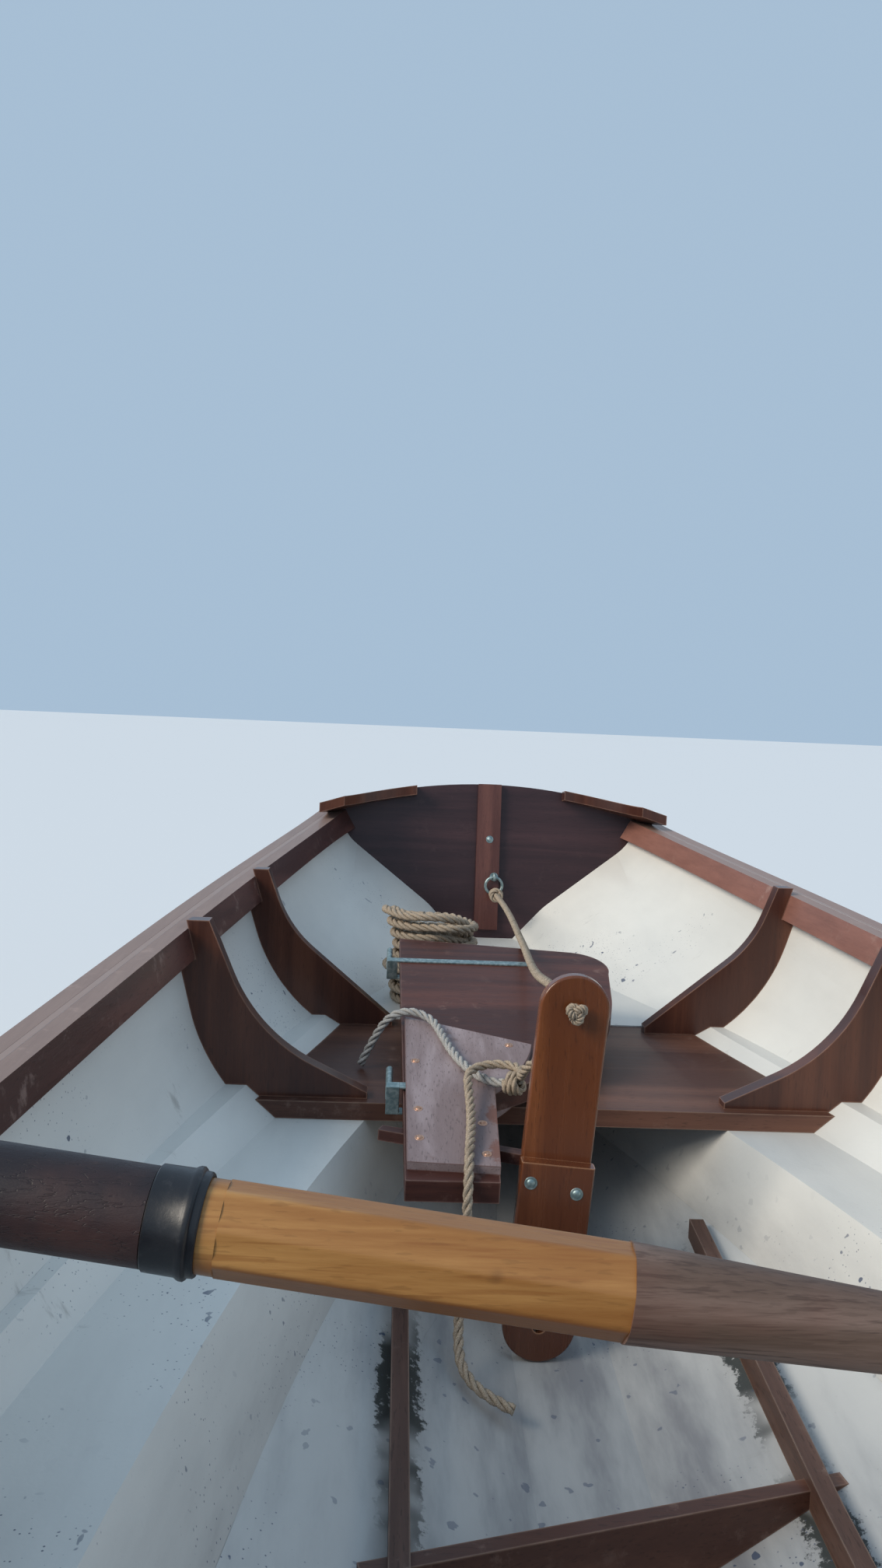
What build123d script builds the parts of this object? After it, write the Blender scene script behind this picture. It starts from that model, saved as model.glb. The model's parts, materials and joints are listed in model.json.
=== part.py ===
"""A four-oared coastal rowing gig with a moulded hull, a wineglass transom and wooden trim.

Millimetres, +X to the bow, +Y to port, +Z up. The origin is amidships, on the
centreline, at the waterline. The rudder is unshipped and lies in the stern.
"""
import os
from collections import namedtuple
from math import asin, cos, degrees, hypot, pi, radians, sin, sqrt, tan

from build123d import *

os.makedirs("parts", exist_ok=True)

# Hull wall, clearances and trim
WALL = 8.0                # moulded hull wall
FIT = 0.3                 # gap between pieces that seat on a curved face
INWALE_WIDTH = 22.0
INWALE_DEPTH = 42.0
RAIL_WIDTH = 20.0         # rubbing strake outside the hull
RAIL_DEPTH = 46.0
NOSE_START = 3560.0       # the moulding is solid forward of this station

# Inside levels
TANK_TOP = 165.0
TANK_WIDTH = 122.0        # flat top of a side tank, from the riser to its edge
TANK_FOOT = 50.0          # how far the sloping face runs in below the edge
FOOT_LEVEL = 50.0
RISER_WIDTH = 16.0
RISER_HEIGHT = 40.0
STERN_TANK_TOP = 192.0
STERN_TANK_FRONT = -2800.0
BOW_TANK_TOP = 225.0
BOW_TANK_BACK = 2500.0

# Transom
TRANSOM_RAKE = 7.0        # degrees, head leaning aft
TRANSOM_X = -3600.0       # inside face at the sheer
TRANSOM_THICKNESS = 25.0
CROWN_END = 500.0
CROWN_TOP = 560.0
CROWN_HALF = 374.0
DOUBLER_WIDTH = 56.0
DOUBLER_THICKNESS = 14.0
DOUBLER_FOOT = 210.0
QUARTER_KNEE_THICKNESS = 22.0
QUARTER_ARM_TRANSOM = 197.0   # how far the arm runs in along the transom
QUARTER_ARM_SIDE = 150.0      # and forward along the gunwale

# Keel
KEEL_WIDTH = 36.0
KEEL_BOTTOM = -212.0
STEM_WIDTH = 44.0
STEM_HEAD = 705.0

# Thwarts and rowing gear
THWART_XS = (-950.0, 0.0, 950.0, 1900.0)
THWART_WIDTH = 230.0
THWART_THICKNESS = 28.0
THWART_ROUND = 5.0
ROWLOCK_AFT = 540.0       # rowlock pin aft of its thwart's middle
STRETCHERS = ((-1788.0, 15.5), (-900.0, 0.0), (50.0, 0.0), (1000.0, 0.0))   # x, turn in degrees
STRETCHER_THICKNESS = 17.0
STRETCHER_REACH = 240.0
STRETCHER_COVER = 9.0     # of each rail, left over a stretcher
RAIL_Y = 198.0
STRETCHER_RAIL_WIDTH = 19.0
STRETCHER_RAIL_HEIGHT = 26.0
STRETCHER_RAIL_ENDS = (-2300.0, 2150.0)

# Coxswain's seat and its knees
COX_SEAT_TOP = 190.0
COX_SEAT_FRONT = -2362.0
KNEE_THICKNESS = 26.0
KNEE_RISE = 12.0          # knee heads stand this far above the gunwale

# Rowlocks
PIN_RADIUS = 6.5
PIN_CLEARANCE = 0.05
SOCKET_RADIUS = 10.0
SOCKET_DEPTH = 66.0
PLATE_THICKNESS = 4.0
PLATE_WIDTH = 44.0
PLATE_LENGTH = 78.0
BLOCK_WIDTH = 58.0
BLOCK_LENGTH = 250.0
BLOCK_DEPTH = 62.0
BLOCK_RISE = 2.0
SHOULDER_HEIGHT = 6.0
SHOULDER_RADIUS = 15.0
HORN_INSIDE = 33.0
HORN_SECTION = 9.0
HORN_WIDTH = 15.0
HORN_OPENING = 72.0       # degrees left open at the top of the ring

# Oars, measured from the handle's end
OAR_LENGTH = 3500.0
GRIP_LENGTH = 440.0
GRIP_RADIUS = 18.0
GRIP_ROOT_RADIUS = 29.0
LOOM_RADIUS = 27.5
COLLAR_START = 685.0
COLLAR_LENGTH = 43.0
COLLAR_RADIUS = 32.5
LEATHER_LENGTH = 395.0
LEATHER_RADIUS = 29.5
NECK_AT = 2750.0
NECK_RADIUS = 20.0
BLADE_HALF_WIDTH = 65.0
BLADE_THICKNESS = 12.0
STROKE_PIVOT_AT = 910.0   # the pulled-in stroke oar lies in its rowlock here
STROKE_TILT = 6.6         # degrees, blade end up
STROKE_YAW = 2.5          # degrees, blade end aft

# Rudder, unshipped: u runs along the leading edge from the seat's edge towards the tip
RUDDER_SLOPE = 11.0
RUDDER_CORE = 28.0
CHEEK = 11.0
PINTLE_RADIUS = 5.0
PINTLE_LENGTH = 80.0
PINTLE_OFFSET = 18.0
PINTLE_AT = (-30.0, 400.0)
STRAP_LENGTH = 224.0
STRAP_WIDTH = 14.0
STRAP_THICKNESS = 3.0
YOKE_X = -2150.0          # face of the upper arm that looks forward
YOKE_THICKNESS = 18.0
YOKE_WIDTH = 84.0
YOKE_TOP = 424.0
YOKE_LAP_TOP = 200.0
YOKE_LAP_BOTTOM = 140.0
YOKE_Y = -18.0            # its middle, at YOKE_Z
YOKE_LEAN = 4.2           # degrees
YOKE_HOLE_RADIUS = 8.0
YOKE_Z = 180.0            # the height its middle is taken at
BAR_DEPTH = 18.0
BAR_HEIGHT = 14.0
BAR_MIDDLE = (-2220.0, -140.0, 188.0)
BAR_YAW = 17.5            # degrees, its port end forward
BAR_FALL = 2.0            # degrees, its port end down
BAR_OUT = 94.0            # from its middle to its free end
GUDGEON_BORE = 5.2
GUDGEON_HEIGHT = 24.0
GUDGEON_LEVELS = (430.0, 0.0)
GUDGEON_REACH = 18.0

Station = namedtuple(
    "Station",
    "x beam sheer bilge_y bilge_z bilge_r hollow_y hollow_z hollow_r keel_half keel_z",
)
STATIONS = [
    Station(-3720, 364, 496, 320, 440, 110, 122, 300, 140, 18, 175),
    Station(-3600, 381, 486, 341, 417, 130, 141, 270, 150, 18, 140),
    Station(-2770, 490, 440, 425, 232, 300, 150, 82, 300, 20, -5),
    Station(-1800, 585, 396, 552, 150, 230, 200, -18, 300, 20, -112),
    Station(-800, 655, 380, 630, 100, 260, 240, -58, 300, 20, -152),
    Station(200, 690, 378, 668, 85, 250, 262, -72, 300, 20, -168),
    Station(1200, 655, 402, 622, 110, 260, 225, -62, 300, 20, -158),
    Station(2100, 535, 455, 480, 180, 300, 165, -15, 250, 20, -118),
    Station(2900, 345, 530, 265, 290, 300, 85, 70, 200, 18, -60),
    Station(3400, 190, 605, 130, 410, 250, 44, 200, 150, 16, 20),
    Station(3780, 34, 665, 30, 590, 400, 17, 470, 300, 12, 370),
]


SIDE_LIFT = 140.0


def crossing(a, da, b, db):
    """The point where two lines meet, each given by a point and a direction."""
    det = da[0] * db[1] - da[1] * db[0]
    s = ((b[0] - a[0]) * db[1] - (b[1] - a[1]) * db[0]) / det
    return (a[0] + s * da[0], a[1] + s * da[1])


def half_outline(row, inset, lift):
    """Corners of the port half section, from sheer to keel, moved in by inset.

    The side runs on straight to the given lift above the sheer.
    """
    corners = [
        (row.beam, row.sheer),
        (row.bilge_y, row.bilge_z),
        (row.hollow_y, row.hollow_z),
        (row.keel_half, row.keel_z),
    ]
    lines = []
    for a, b in zip(corners, corners[1:]):
        length = hypot(b[0] - a[0], b[1] - a[1])
        d = ((b[0] - a[0]) / length, (b[1] - a[1]) / length)
        lines.append(((a[0] + inset * d[1], a[1] - inset * d[0]), d))
    sheer = crossing(*lines[0], (0, row.sheer + lift), (1, 0))
    bilge = crossing(*lines[0], *lines[1])
    hollow = crossing(*lines[1], *lines[2])
    keel = crossing(*lines[2], (0, row.keel_z + inset), (1, 0))
    if keel[0] < 2.0:
        keel = crossing(*lines[2], (2.0, 0), (0, 1))
    return sheer, bilge, hollow, keel


def hull_body(inset, stations=STATIONS):
    """The solid inside the hull's skin, offset in each section, its sides run on upwards."""
    with BuildPart() as body:
        for row in stations:
            sheer, bilge, hollow, keel = half_outline(row, inset, SIDE_LIFT)
            with BuildSketch(Plane.YZ.offset(row.x)):
                with BuildLine():
                    radii = (row.bilge_r - inset, row.hollow_r + inset)
                    side = FilletPolyline(sheer, bilge, hollow, keel, radius=radii)
                    mirror(side, about=Plane.YZ)
                    Line(sheer, (-sheer[0], sheer[1]))
                    Line(keel, (-keel[0], keel[1]))
                make_face()
        loft()
    return body.part


def under_sheer(depth):
    """Everything lower than the given depth under the sheer."""
    with BuildPart() as body:
        for row in STATIONS:
            with BuildSketch(Plane.YZ.offset(row.x)):
                with BuildLine():
                    top = row.sheer - depth
                    Polyline((-900, -600), (900, -600), (900, top), (-900, top), close=True)
                make_face()
        loft()
    return body.part


def lerp_station(x):
    """The station at x, between its two neighbours in the table."""
    for a, b in zip(STATIONS, STATIONS[1:]):
        if a.x <= x <= b.x:
            t = (x - a.x) / (b.x - a.x)
            return Station(*(p + t * (q - p) for p, q in zip(a, b)))
    raise ValueError(f"no station at {x}")


def half_breadth(x, z, inset):
    """Half width of the inset hull at one station and height."""
    row = lerp_station(x)
    sheer, bilge, hollow, keel = half_outline(row, inset, 0)
    up = ((sheer[0] - bilge[0]), (sheer[1] - bilge[1]))
    down = ((hollow[0] - bilge[0]), (hollow[1] - bilge[1]))
    up = (up[0] / hypot(*up), up[1] / hypot(*up))
    down = (down[0] / hypot(*down), down[1] / hypot(*down))
    half_cos = sqrt((1 + up[0] * down[0] + up[1] * down[1]) / 2)
    half_sin = sqrt(1 - half_cos**2)
    radius = row.bilge_r - inset
    run = radius * half_cos / half_sin
    if z >= bilge[1] + run * up[1]:
        return bilge[0] + (z - bilge[1]) * up[0] / up[1]
    if z <= bilge[1] + run * down[1]:
        return bilge[0] + (z - bilge[1]) * down[0] / down[1]
    bisector = (up[0] + down[0], up[1] + down[1])
    scale = radius / half_sin / hypot(*bisector)
    centre = (bilge[0] + bisector[0] * scale, bilge[1] + bisector[1] * scale)
    return centre[0] + sqrt(radius**2 - (z - centre[1]) ** 2)


def sheer_at(x):
    """Sheer height at x, through a cubic on the four nearest stations."""
    rows = sorted(STATIONS, key=lambda row: abs(row.x - x))[:4]
    total = 0.0
    for row in rows:
        weight = row.sheer
        for other in rows:
            if other is not row:
                weight *= (x - other.x) / (row.x - other.x)
        total += weight
    return total


def save(piece, name):
    piece.label = name
    export_step(piece, f"parts/{name}.step")


# Shared hull forms
transom_plane = Plane(
    origin=(TRANSOM_X, 0, CROWN_END),
    x_dir=(0, 1, 0),
    z_dir=(cos(radians(TRANSOM_RAKE)), 0, sin(radians(TRANSOM_RAKE))),
)
BLUNT_STATIONS = STATIONS[:-1]
under_gunwale = under_sheer(0)
outer = hull_body(0)
outer_fit = hull_body(-FIT)
inner = hull_body(WALL)
inner_fit = hull_body(WALL + FIT)
inwale_face = hull_body(WALL + FIT + INWALE_WIDTH, BLUNT_STATIONS)
inwale_clear = hull_body(WALL + 2 * FIT + INWALE_WIDTH, BLUNT_STATIONS)
rail_face = hull_body(-FIT - RAIL_WIDTH)


def aft_of(distance):
    """Everything aft of a plane this far behind the transom's inside face."""
    with BuildPart() as body:
        with BuildSketch(transom_plane.offset(-distance)):
            Rectangle(1400, 2400)
        extrude(amount=-600)
    return body.part


def block(x, y, z, mode=Mode.ADD):
    """A plain block between two limits each way, for use inside a part."""
    with Locations(((x[0] + x[1]) / 2, (y[0] + y[1]) / 2, (z[0] + z[1]) / 2)):
        Box(x[1] - x[0], y[1] - y[0], z[1] - z[0], mode=mode)


behind_transom = aft_of(0)
behind_board = aft_of(TRANSOM_THICKNESS)

with BuildPart() as hull_hollow:
    add(inner)
    block((-3721, NOSE_START), (-900, 900), (-400, 900), mode=Mode.INTERSECT)

with BuildPart() as hull_shell:
    add(outer)
    add(under_gunwale, mode=Mode.INTERSECT)
    add(hull_hollow.part, mode=Mode.SUBTRACT)
    add(behind_transom, mode=Mode.SUBTRACT)
save(hull_shell.part, "hull_shell")


def crown_prism(drop, back, front):
    """The transom's crowned outline, lowered by drop, between two depths."""
    with BuildPart() as prism:
        with BuildSketch(transom_plane.offset(back)):
            with BuildLine():
                rise = CROWN_TOP - CROWN_END
                ThreePointArc((-CROWN_HALF, -drop), (0, rise - drop), (CROWN_HALF, -drop))
                Polyline(
                    (CROWN_HALF, -drop),
                    (CROWN_HALF + 60, -drop - 18),
                    (CROWN_HALF + 60, -700),
                    (-CROWN_HALF - 60, -700),
                    (-CROWN_HALF - 60, -drop - 18),
                    (-CROWN_HALF, -drop),
                )
            make_face()
        extrude(amount=front - back)
    return prism.part


with BuildPart() as transom:
    add(outer)
    add(crown_prism(0, -TRANSOM_THICKNESS, 0), mode=Mode.INTERSECT)
save(transom.part, "transom")

with BuildPart() as transom_doubler:
    add(crown_prism(0, 0, DOUBLER_THICKNESS))
    with BuildSketch(transom_plane):
        with Locations((0, (CROWN_TOP + DOUBLER_FOOT) / 2 - CROWN_END)):
            Rectangle(DOUBLER_WIDTH, CROWN_TOP - DOUBLER_FOOT)
    extrude(amount=DOUBLER_THICKNESS, mode=Mode.INTERSECT)
save(transom_doubler.part, "transom_doubler")

# Quarter knees lie on the gunwale's after ends and follow the crown
with BuildPart() as quarter_knees:
    add(crown_prism(-2, 0, 240))
    add(crown_prism(QUARTER_KNEE_THICKNESS - 2, -5, 260), mode=Mode.SUBTRACT)
    with BuildSketch(Plane.XY.offset(300)):
        with BuildLine():
            arm_end = TRANSOM_X + QUARTER_ARM_SIDE
            arm_in = CROWN_HALF - QUARTER_ARM_TRANSOM
            Polyline(
                (TRANSOM_X + 42, arm_in),
                (TRANSOM_X - 80, arm_in),
                (TRANSOM_X - 80, lerp_station(TRANSOM_X - 80).beam),
                (arm_end, lerp_station(arm_end).beam),
                (arm_end, CROWN_HALF - 30),
            )
            ThreePointArc(
                (arm_end, CROWN_HALF - 30),
                (TRANSOM_X + 66, CROWN_HALF - 88),
                (TRANSOM_X + 42, arm_in),
            )
        make_face()
        mirror(about=Plane.XZ)
    extrude(amount=400, mode=Mode.INTERSECT)
    add(rail_face, mode=Mode.INTERSECT)
    add(under_sheer(-FIT), mode=Mode.SUBTRACT)
save(quarter_knees.part, "quarter_knees")

# Gunwale: an inwale inside the hull's edge and a rubbing strake outside it
inwale_trough = under_sheer(INWALE_DEPTH)
rail_trough = under_sheer(RAIL_DEPTH)
INWALE_FRONT = 3300.0
for side, sign in (("port", 1), ("starboard", -1)):
    half = (0, 900) if sign > 0 else (-900, 0)
    with BuildPart() as inwale:
        add(inner_fit)
        add(under_gunwale, mode=Mode.INTERSECT)
        add(inwale_face, mode=Mode.SUBTRACT)
        add(inwale_trough, mode=Mode.SUBTRACT)
        block((-3721, INWALE_FRONT), half, (-400, 900), mode=Mode.INTERSECT)
        add(behind_transom, mode=Mode.SUBTRACT)
    save(inwale.part, f"inwale_{side}")
    with BuildPart() as rub_rail:
        add(rail_face)
        add(under_gunwale, mode=Mode.INTERSECT)
        add(outer_fit, mode=Mode.SUBTRACT)
        add(rail_trough, mode=Mode.SUBTRACT)
        block((-3721, 3781), half, (-400, 900), mode=Mode.INTERSECT)
        add(behind_board, mode=Mode.SUBTRACT)
    save(rub_rail.part, f"rub_rail_{side}")

BREASTHOOK_THICKNESS = 24.0
BREASTHOOK_BACK = 3120.0
with BuildPart() as hook_wings:
    add(inwale_clear)
    block((BREASTHOOK_BACK, INWALE_FRONT + FIT), (-900, 900), (-400, 900), mode=Mode.INTERSECT)
with BuildPart() as breasthook:
    add(inner_fit)
    block((INWALE_FRONT + FIT, NOSE_START - FIT), (-900, 900), (-400, 900), mode=Mode.INTERSECT)
    add(hook_wings.part)
    add(inner_fit, mode=Mode.INTERSECT)
    add(under_gunwale, mode=Mode.INTERSECT)
    add(under_sheer(BREASTHOOK_THICKNESS), mode=Mode.SUBTRACT)
    with Locations((BREASTHOOK_BACK - 20, 0, 500)):
        Cylinder(150, 600, mode=Mode.SUBTRACT)
save(breasthook.part, "breasthook")

# The inwales with their clearance, for what is notched round them
with BuildPart() as inwale_zone:
    add(outer)
    add(inwale_clear, mode=Mode.SUBTRACT)
    add(under_sheer(INWALE_DEPTH + FIT), mode=Mode.SUBTRACT)

# Keel and stem, cut to the hull's underside
def transom_aft_x(level):
    """X of the transom board's after face at a height."""
    lean = tan(radians(TRANSOM_RAKE))
    return TRANSOM_X - TRANSOM_THICKNESS / cos(radians(TRANSOM_RAKE)) + (CROWN_END - level) * lean


KEEL_HEEL = -190.0
KEEL_FRONT = (3000.0, -112.0)
with BuildPart() as keel:
    with BuildSketch(Plane.XZ):
        with BuildLine():
            heel = (transom_aft_x(KEEL_HEEL), KEEL_HEEL)
            ThreePointArc(heel, (0, KEEL_BOTTOM), KEEL_FRONT)
            Polyline(
                KEEL_FRONT,
                (KEEL_FRONT[0], 0),
                (-1800, 0),
                (-2770, 100),
                (transom_aft_x(200), 200),
                heel,
            )
        make_face()
    extrude(amount=KEEL_WIDTH / 2, both=True)
    add(outer_fit, mode=Mode.SUBTRACT)
save(keel.part, "keel")

with BuildPart() as stem:
    with BuildSketch(Plane.XZ):
        with BuildLine():
            foot = (KEEL_FRONT[0] + FIT, KEEL_FRONT[1])
            ThreePointArc(foot, (3590, 70), (3812, 420))
            Polyline(
                (3812, 420),
                (3842, STEM_HEAD - 8),
                (3834, STEM_HEAD),
                (3781, STEM_HEAD),
                (3781, 640),
                (3600, 600),
                (3300, 150),
                (foot[0], 0),
                foot,
            )
        make_face()
    extrude(amount=STEM_WIDTH / 2, both=True)
    add(outer_fit, mode=Mode.SUBTRACT)
save(stem.part, "stem")

# Inside mouldings: x along the boat, and the sole's level on the centreline
SOLE_LEVELS = [
    (STERN_TANK_FRONT + FIT, 20),
    (-2300, -30),
    (-1800, -62),
    (-800, -95),
    (200, -108),
    (1200, -98),
    (2100, -55),
    (BOW_TANK_BACK - FIT, -25),
]
SOLE_FLAT = 60.0


def tank_lines(x):
    """Half widths at the riser's top and bottom, the tank's edge and its foot."""
    top, bottom = [half_breadth(x, z, WALL) - RISER_WIDTH for z in (TANK_TOP + RISER_HEIGHT, TANK_TOP)]
    edge = bottom - TANK_WIDTH
    return top, bottom, edge, edge - TANK_FOOT


def side_tank(sign, grow=0.0):
    """A side tank with its riser, or that form grown by a clearance."""
    with BuildPart() as tank:
        for x, _ in SOLE_LEVELS:
            top, bottom, edge, foot = [y - grow for y in tank_lines(x)]
            ledge = TANK_TOP + RISER_HEIGHT + grow
            corners = [
                (foot, -300),
                (foot, FOOT_LEVEL),
                (edge, TANK_TOP + grow),
                (bottom, TANK_TOP + grow),
                (top, ledge),
                (top + 130, ledge),
                (top + 130, -300),
            ]
            with BuildSketch(Plane.YZ.offset(x)):
                with BuildLine():
                    Polyline(*[(sign * y, z) for y, z in corners], close=True)
                make_face()
        loft()
    return tank.part


tank_clear = [side_tank(sign, FIT) for sign in (1, -1)]
for side, sign in (("port", 1), ("starboard", -1)):
    with BuildPart() as tank:
        add(side_tank(sign))
        add(inner_fit, mode=Mode.INTERSECT)
    save(tank.part, f"side_tank_{side}")


def sole_body(lift=0.0):
    with BuildPart() as sole:
        for x, level in SOLE_LEVELS:
            foot = tank_lines(x)[-1] - FIT
            with BuildSketch(Plane.YZ.offset(x)):
                with BuildLine():
                    Polyline(
                        (-foot, -300),
                        (-foot, FOOT_LEVEL + lift),
                        (-SOLE_FLAT, level + lift),
                        (SOLE_FLAT, level + lift),
                        (foot, FOOT_LEVEL + lift),
                        (foot, -300),
                        close=True,
                    )
                make_face()
        loft()
    return sole.part


with BuildPart() as floor:
    add(sole_body())
    add(inner_fit, mode=Mode.INTERSECT)
save(floor.part, "floor")

with BuildPart() as stern_tank:
    add(inner_fit)
    block((-3721, STERN_TANK_FRONT), (-900, 900), (-400, STERN_TANK_TOP), mode=Mode.INTERSECT)
    add(behind_transom, mode=Mode.SUBTRACT)
save(stern_tank.part, "stern_tank")

with BuildPart() as bow_tank:
    add(inner_fit)
    block((BOW_TANK_BACK, NOSE_START - FIT), (-900, 900), (-400, BOW_TANK_TOP), mode=Mode.INTERSECT)
save(bow_tank.part, "bow_tank")

# Seats
THWART_BOTTOM = TANK_TOP + RISER_HEIGHT + FIT
THWART_TOP = THWART_BOTTOM + THWART_THICKNESS
for number, x in enumerate(THWART_XS, start=1):
    with BuildPart() as thwart:
        add(inner_fit)
        span = (x - THWART_WIDTH / 2, x + THWART_WIDTH / 2)
        block(span, (-900, 900), (THWART_BOTTOM, THWART_TOP), mode=Mode.INTERSECT)
        fillet(thwart.edges().filter_by(Axis.Y), THWART_ROUND)
    save(thwart.part, f"thwart_{number}")

with BuildPart() as cox_seat:
    add(inner_fit)
    seat_span = (STERN_TANK_FRONT + FIT, COX_SEAT_FRONT)
    block(seat_span, (-900, 900), (TANK_TOP + FIT, COX_SEAT_TOP), mode=Mode.INTERSECT)
    for tank in tank_clear:
        add(tank, mode=Mode.SUBTRACT)
save(cox_seat.part, "cox_seat")


def knee_pair(x, edge, radius, foot):
    """Two knees against the hull; edge runs from the head's inner corner to the toe."""
    with BuildPart() as pair:
        with BuildSketch(Plane.YZ.offset(x)):
            with BuildLine():
                FilletPolyline(*edge, radius=radius)
                head, toe = edge[0], edge[-1]
                Polyline(toe, (toe[0], foot), (900, foot), (900, head[1]), head)
            make_face()
            mirror(about=Plane.YZ)
        extrude(amount=KNEE_THICKNESS / 2, both=True)
        add(inner_fit, mode=Mode.INTERSECT)
        add(inwale_zone.part, mode=Mode.SUBTRACT)
        for tank in tank_clear:
            add(tank, mode=Mode.SUBTRACT)
    return pair.part


COX_KNEES = {
    # name: station, head, corner and toe of the inner edge, radius of the corner
    "cox_knees_fore": (-2390, (474, 432), (406, 274), (250, 199), 240),
    "cox_knees_aft": (-2770, (437, 452), (400, 352), (218, 201), 200),
}
for name, (x, head, corner, toe, radius) in COX_KNEES.items():
    pair = knee_pair(x, (head, corner, toe), radius, COX_SEAT_TOP + FIT)
    save(pair, name)

THWART_KNEE_REACH = 150.0
with BuildPart() as thwart_knees:
    for x in THWART_XS:
        top = sheer_at(x) - 4
        inside = half_breadth(x, top, WALL) - INWALE_WIDTH - 20
        corner = (inside - 14, THWART_TOP + 26)
        toe = (inside - THWART_KNEE_REACH, THWART_TOP + 14)
        add(knee_pair(x, ((inside, top), corner, toe), 80, THWART_TOP + FIT))
save(thwart_knees.part, "thwart_knees")

# Foot stretchers on two rails along the sole
sole_fit = sole_body(FIT)


def sole_level(x, y):
    """Height of the sole at a point, between its stations."""
    for (x0, z0), (x1, z1) in zip(SOLE_LEVELS, SOLE_LEVELS[1:]):
        if x0 <= x <= x1:
            t = (x - x0) / (x1 - x0)
            middle = z0 + t * (z1 - z0)
            foot = tank_lines(x)[-1] - FIT
            return middle + (FOOT_LEVEL - middle) * max(0, abs(y) - SOLE_FLAT) / (foot - SOLE_FLAT)
    raise ValueError(f"no sole at {x}")


def stretcher(x, turn, grow):
    """A board on edge across the sole, its top under the rails' tops; grow widens it all round."""
    top = sole_level(x, RAIL_Y) + STRETCHER_RAIL_HEIGHT - STRETCHER_COVER
    depth = 150.0
    with BuildPart() as board:
        with Locations(Location((x, 0, top - depth / 2), (0, 0, turn))):
            Box(STRETCHER_THICKNESS + 2 * grow, 2 * (STRETCHER_REACH + grow), depth + 2 * grow)
    return board.part


with BuildPart() as stretchers:
    for x, turn in STRETCHERS:
        add(stretcher(x, turn, 0))
    add(sole_fit, mode=Mode.SUBTRACT)
save(stretchers.part, "stretchers")

rail_stations = [x for x, _ in SOLE_LEVELS[2:-2]]
with BuildPart() as stretcher_rails:
    for sign in (1, -1):
        for x in [STRETCHER_RAIL_ENDS[0], *rail_stations, STRETCHER_RAIL_ENDS[1]]:
            level = sole_level(x, RAIL_Y)
            with BuildSketch(Plane.YZ.offset(x)):
                with Locations((sign * RAIL_Y, level)):
                    Rectangle(STRETCHER_RAIL_WIDTH, 2 * STRETCHER_RAIL_HEIGHT)
        loft(ruled=True)
    add(sole_fit, mode=Mode.SUBTRACT)
    add(inner_fit, mode=Mode.INTERSECT)
    for x, turn in STRETCHERS:
        add(stretcher(x, turn, FIT), mode=Mode.SUBTRACT)
save(stretcher_rails.part, "stretcher_rails")

# Rowlocks: a block inside each gunwale, a socket in it and a swivel rowlock
Rowlock = namedtuple("Rowlock", "number x y top sign")
ROWLOCKS = []
for number, thwart_x in enumerate(THWART_XS, start=1):
    x = thwart_x - ROWLOCK_AFT
    sign = -1 if number % 2 else 1
    top = sheer_at(x) + BLOCK_RISE
    gunwale_in = half_breadth(x, sheer_at(x) - INWALE_DEPTH, WALL) - INWALE_WIDTH
    ROWLOCKS.append(Rowlock(number, x, sign * (gunwale_in - BLOCK_WIDTH / 2), top, sign))

with BuildPart() as block_bays:
    for lock in ROWLOCKS:
        with Locations((lock.x, lock.y + lock.sign * 20, lock.top - BLOCK_DEPTH / 2)):
            Box(BLOCK_LENGTH, BLOCK_WIDTH + 40, BLOCK_DEPTH)
    fillet(block_bays.edges().filter_by(Axis.Z), 14)
with BuildPart() as rowlock_blocks:
    add(inwale_clear)
    add(block_bays.part, mode=Mode.INTERSECT)
    for lock in ROWLOCKS:
        with Locations((lock.x, lock.y, lock.top)):
            Cylinder(SOCKET_RADIUS + FIT, 400, mode=Mode.SUBTRACT)
save(rowlock_blocks.part, "rowlock_blocks")

with BuildPart() as rowlock_sockets:
    for lock in ROWLOCKS:
        with Locations((lock.x, lock.y, lock.top)):
            with Locations((0, 0, PLATE_THICKNESS / 2)):
                Box(PLATE_LENGTH, PLATE_WIDTH, PLATE_THICKNESS)
            with Locations((0, 0, -SOCKET_DEPTH / 2)):
                Cylinder(SOCKET_RADIUS, SOCKET_DEPTH)
            Cylinder(PIN_RADIUS + PIN_CLEARANCE, 400, mode=Mode.SUBTRACT)
save(rowlock_sockets.part, "rowlock_sockets")

RING_RISE = PLATE_THICKNESS + FIT + SHOULDER_HEIGHT + HORN_SECTION - 1 + HORN_INSIDE


def rowlock(lock):
    """A swivel rowlock: a pin, a shoulder and an open ring with turned-out tips."""
    with BuildPart() as swivel:
        with Locations((lock.x, lock.y, lock.top)):
            with Locations((0, 0, PLATE_THICKNESS + FIT - SOCKET_DEPTH / 2 + 1)):
                Cylinder(PIN_RADIUS, SOCKET_DEPTH + 2)
            with Locations((0, 0, PLATE_THICKNESS + FIT + SHOULDER_HEIGHT / 2)):
                Cylinder(SHOULDER_RADIUS, SHOULDER_HEIGHT)
        ring_plane = Plane(
            origin=(lock.x, lock.y, lock.top + RING_RISE), x_dir=(1, 0, 0), z_dir=(0, -1, 0)
        )
        with BuildSketch(ring_plane):
            with BuildLine():
                opening = radians(HORN_OPENING / 2)
                inside = (HORN_INSIDE * sin(opening), HORN_INSIDE * cos(opening))
                far = HORN_INSIDE + HORN_SECTION
                outside = (far * sin(opening), far * cos(opening))
                ThreePointArc(inside, (0, -HORN_INSIDE), (-inside[0], inside[1]))
                Line((-inside[0], inside[1]), (-outside[0], outside[1]))
                ThreePointArc((-outside[0], outside[1]), (0, -far), outside)
                Line(outside, inside)
            make_face()
        extrude(amount=HORN_WIDTH / 2, both=True)
        tips = swivel.edges().filter_by(GeomType.LINE).group_by(Axis.Z)[-1]
        fillet(tips, 3.5)
    return swivel.part


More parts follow.
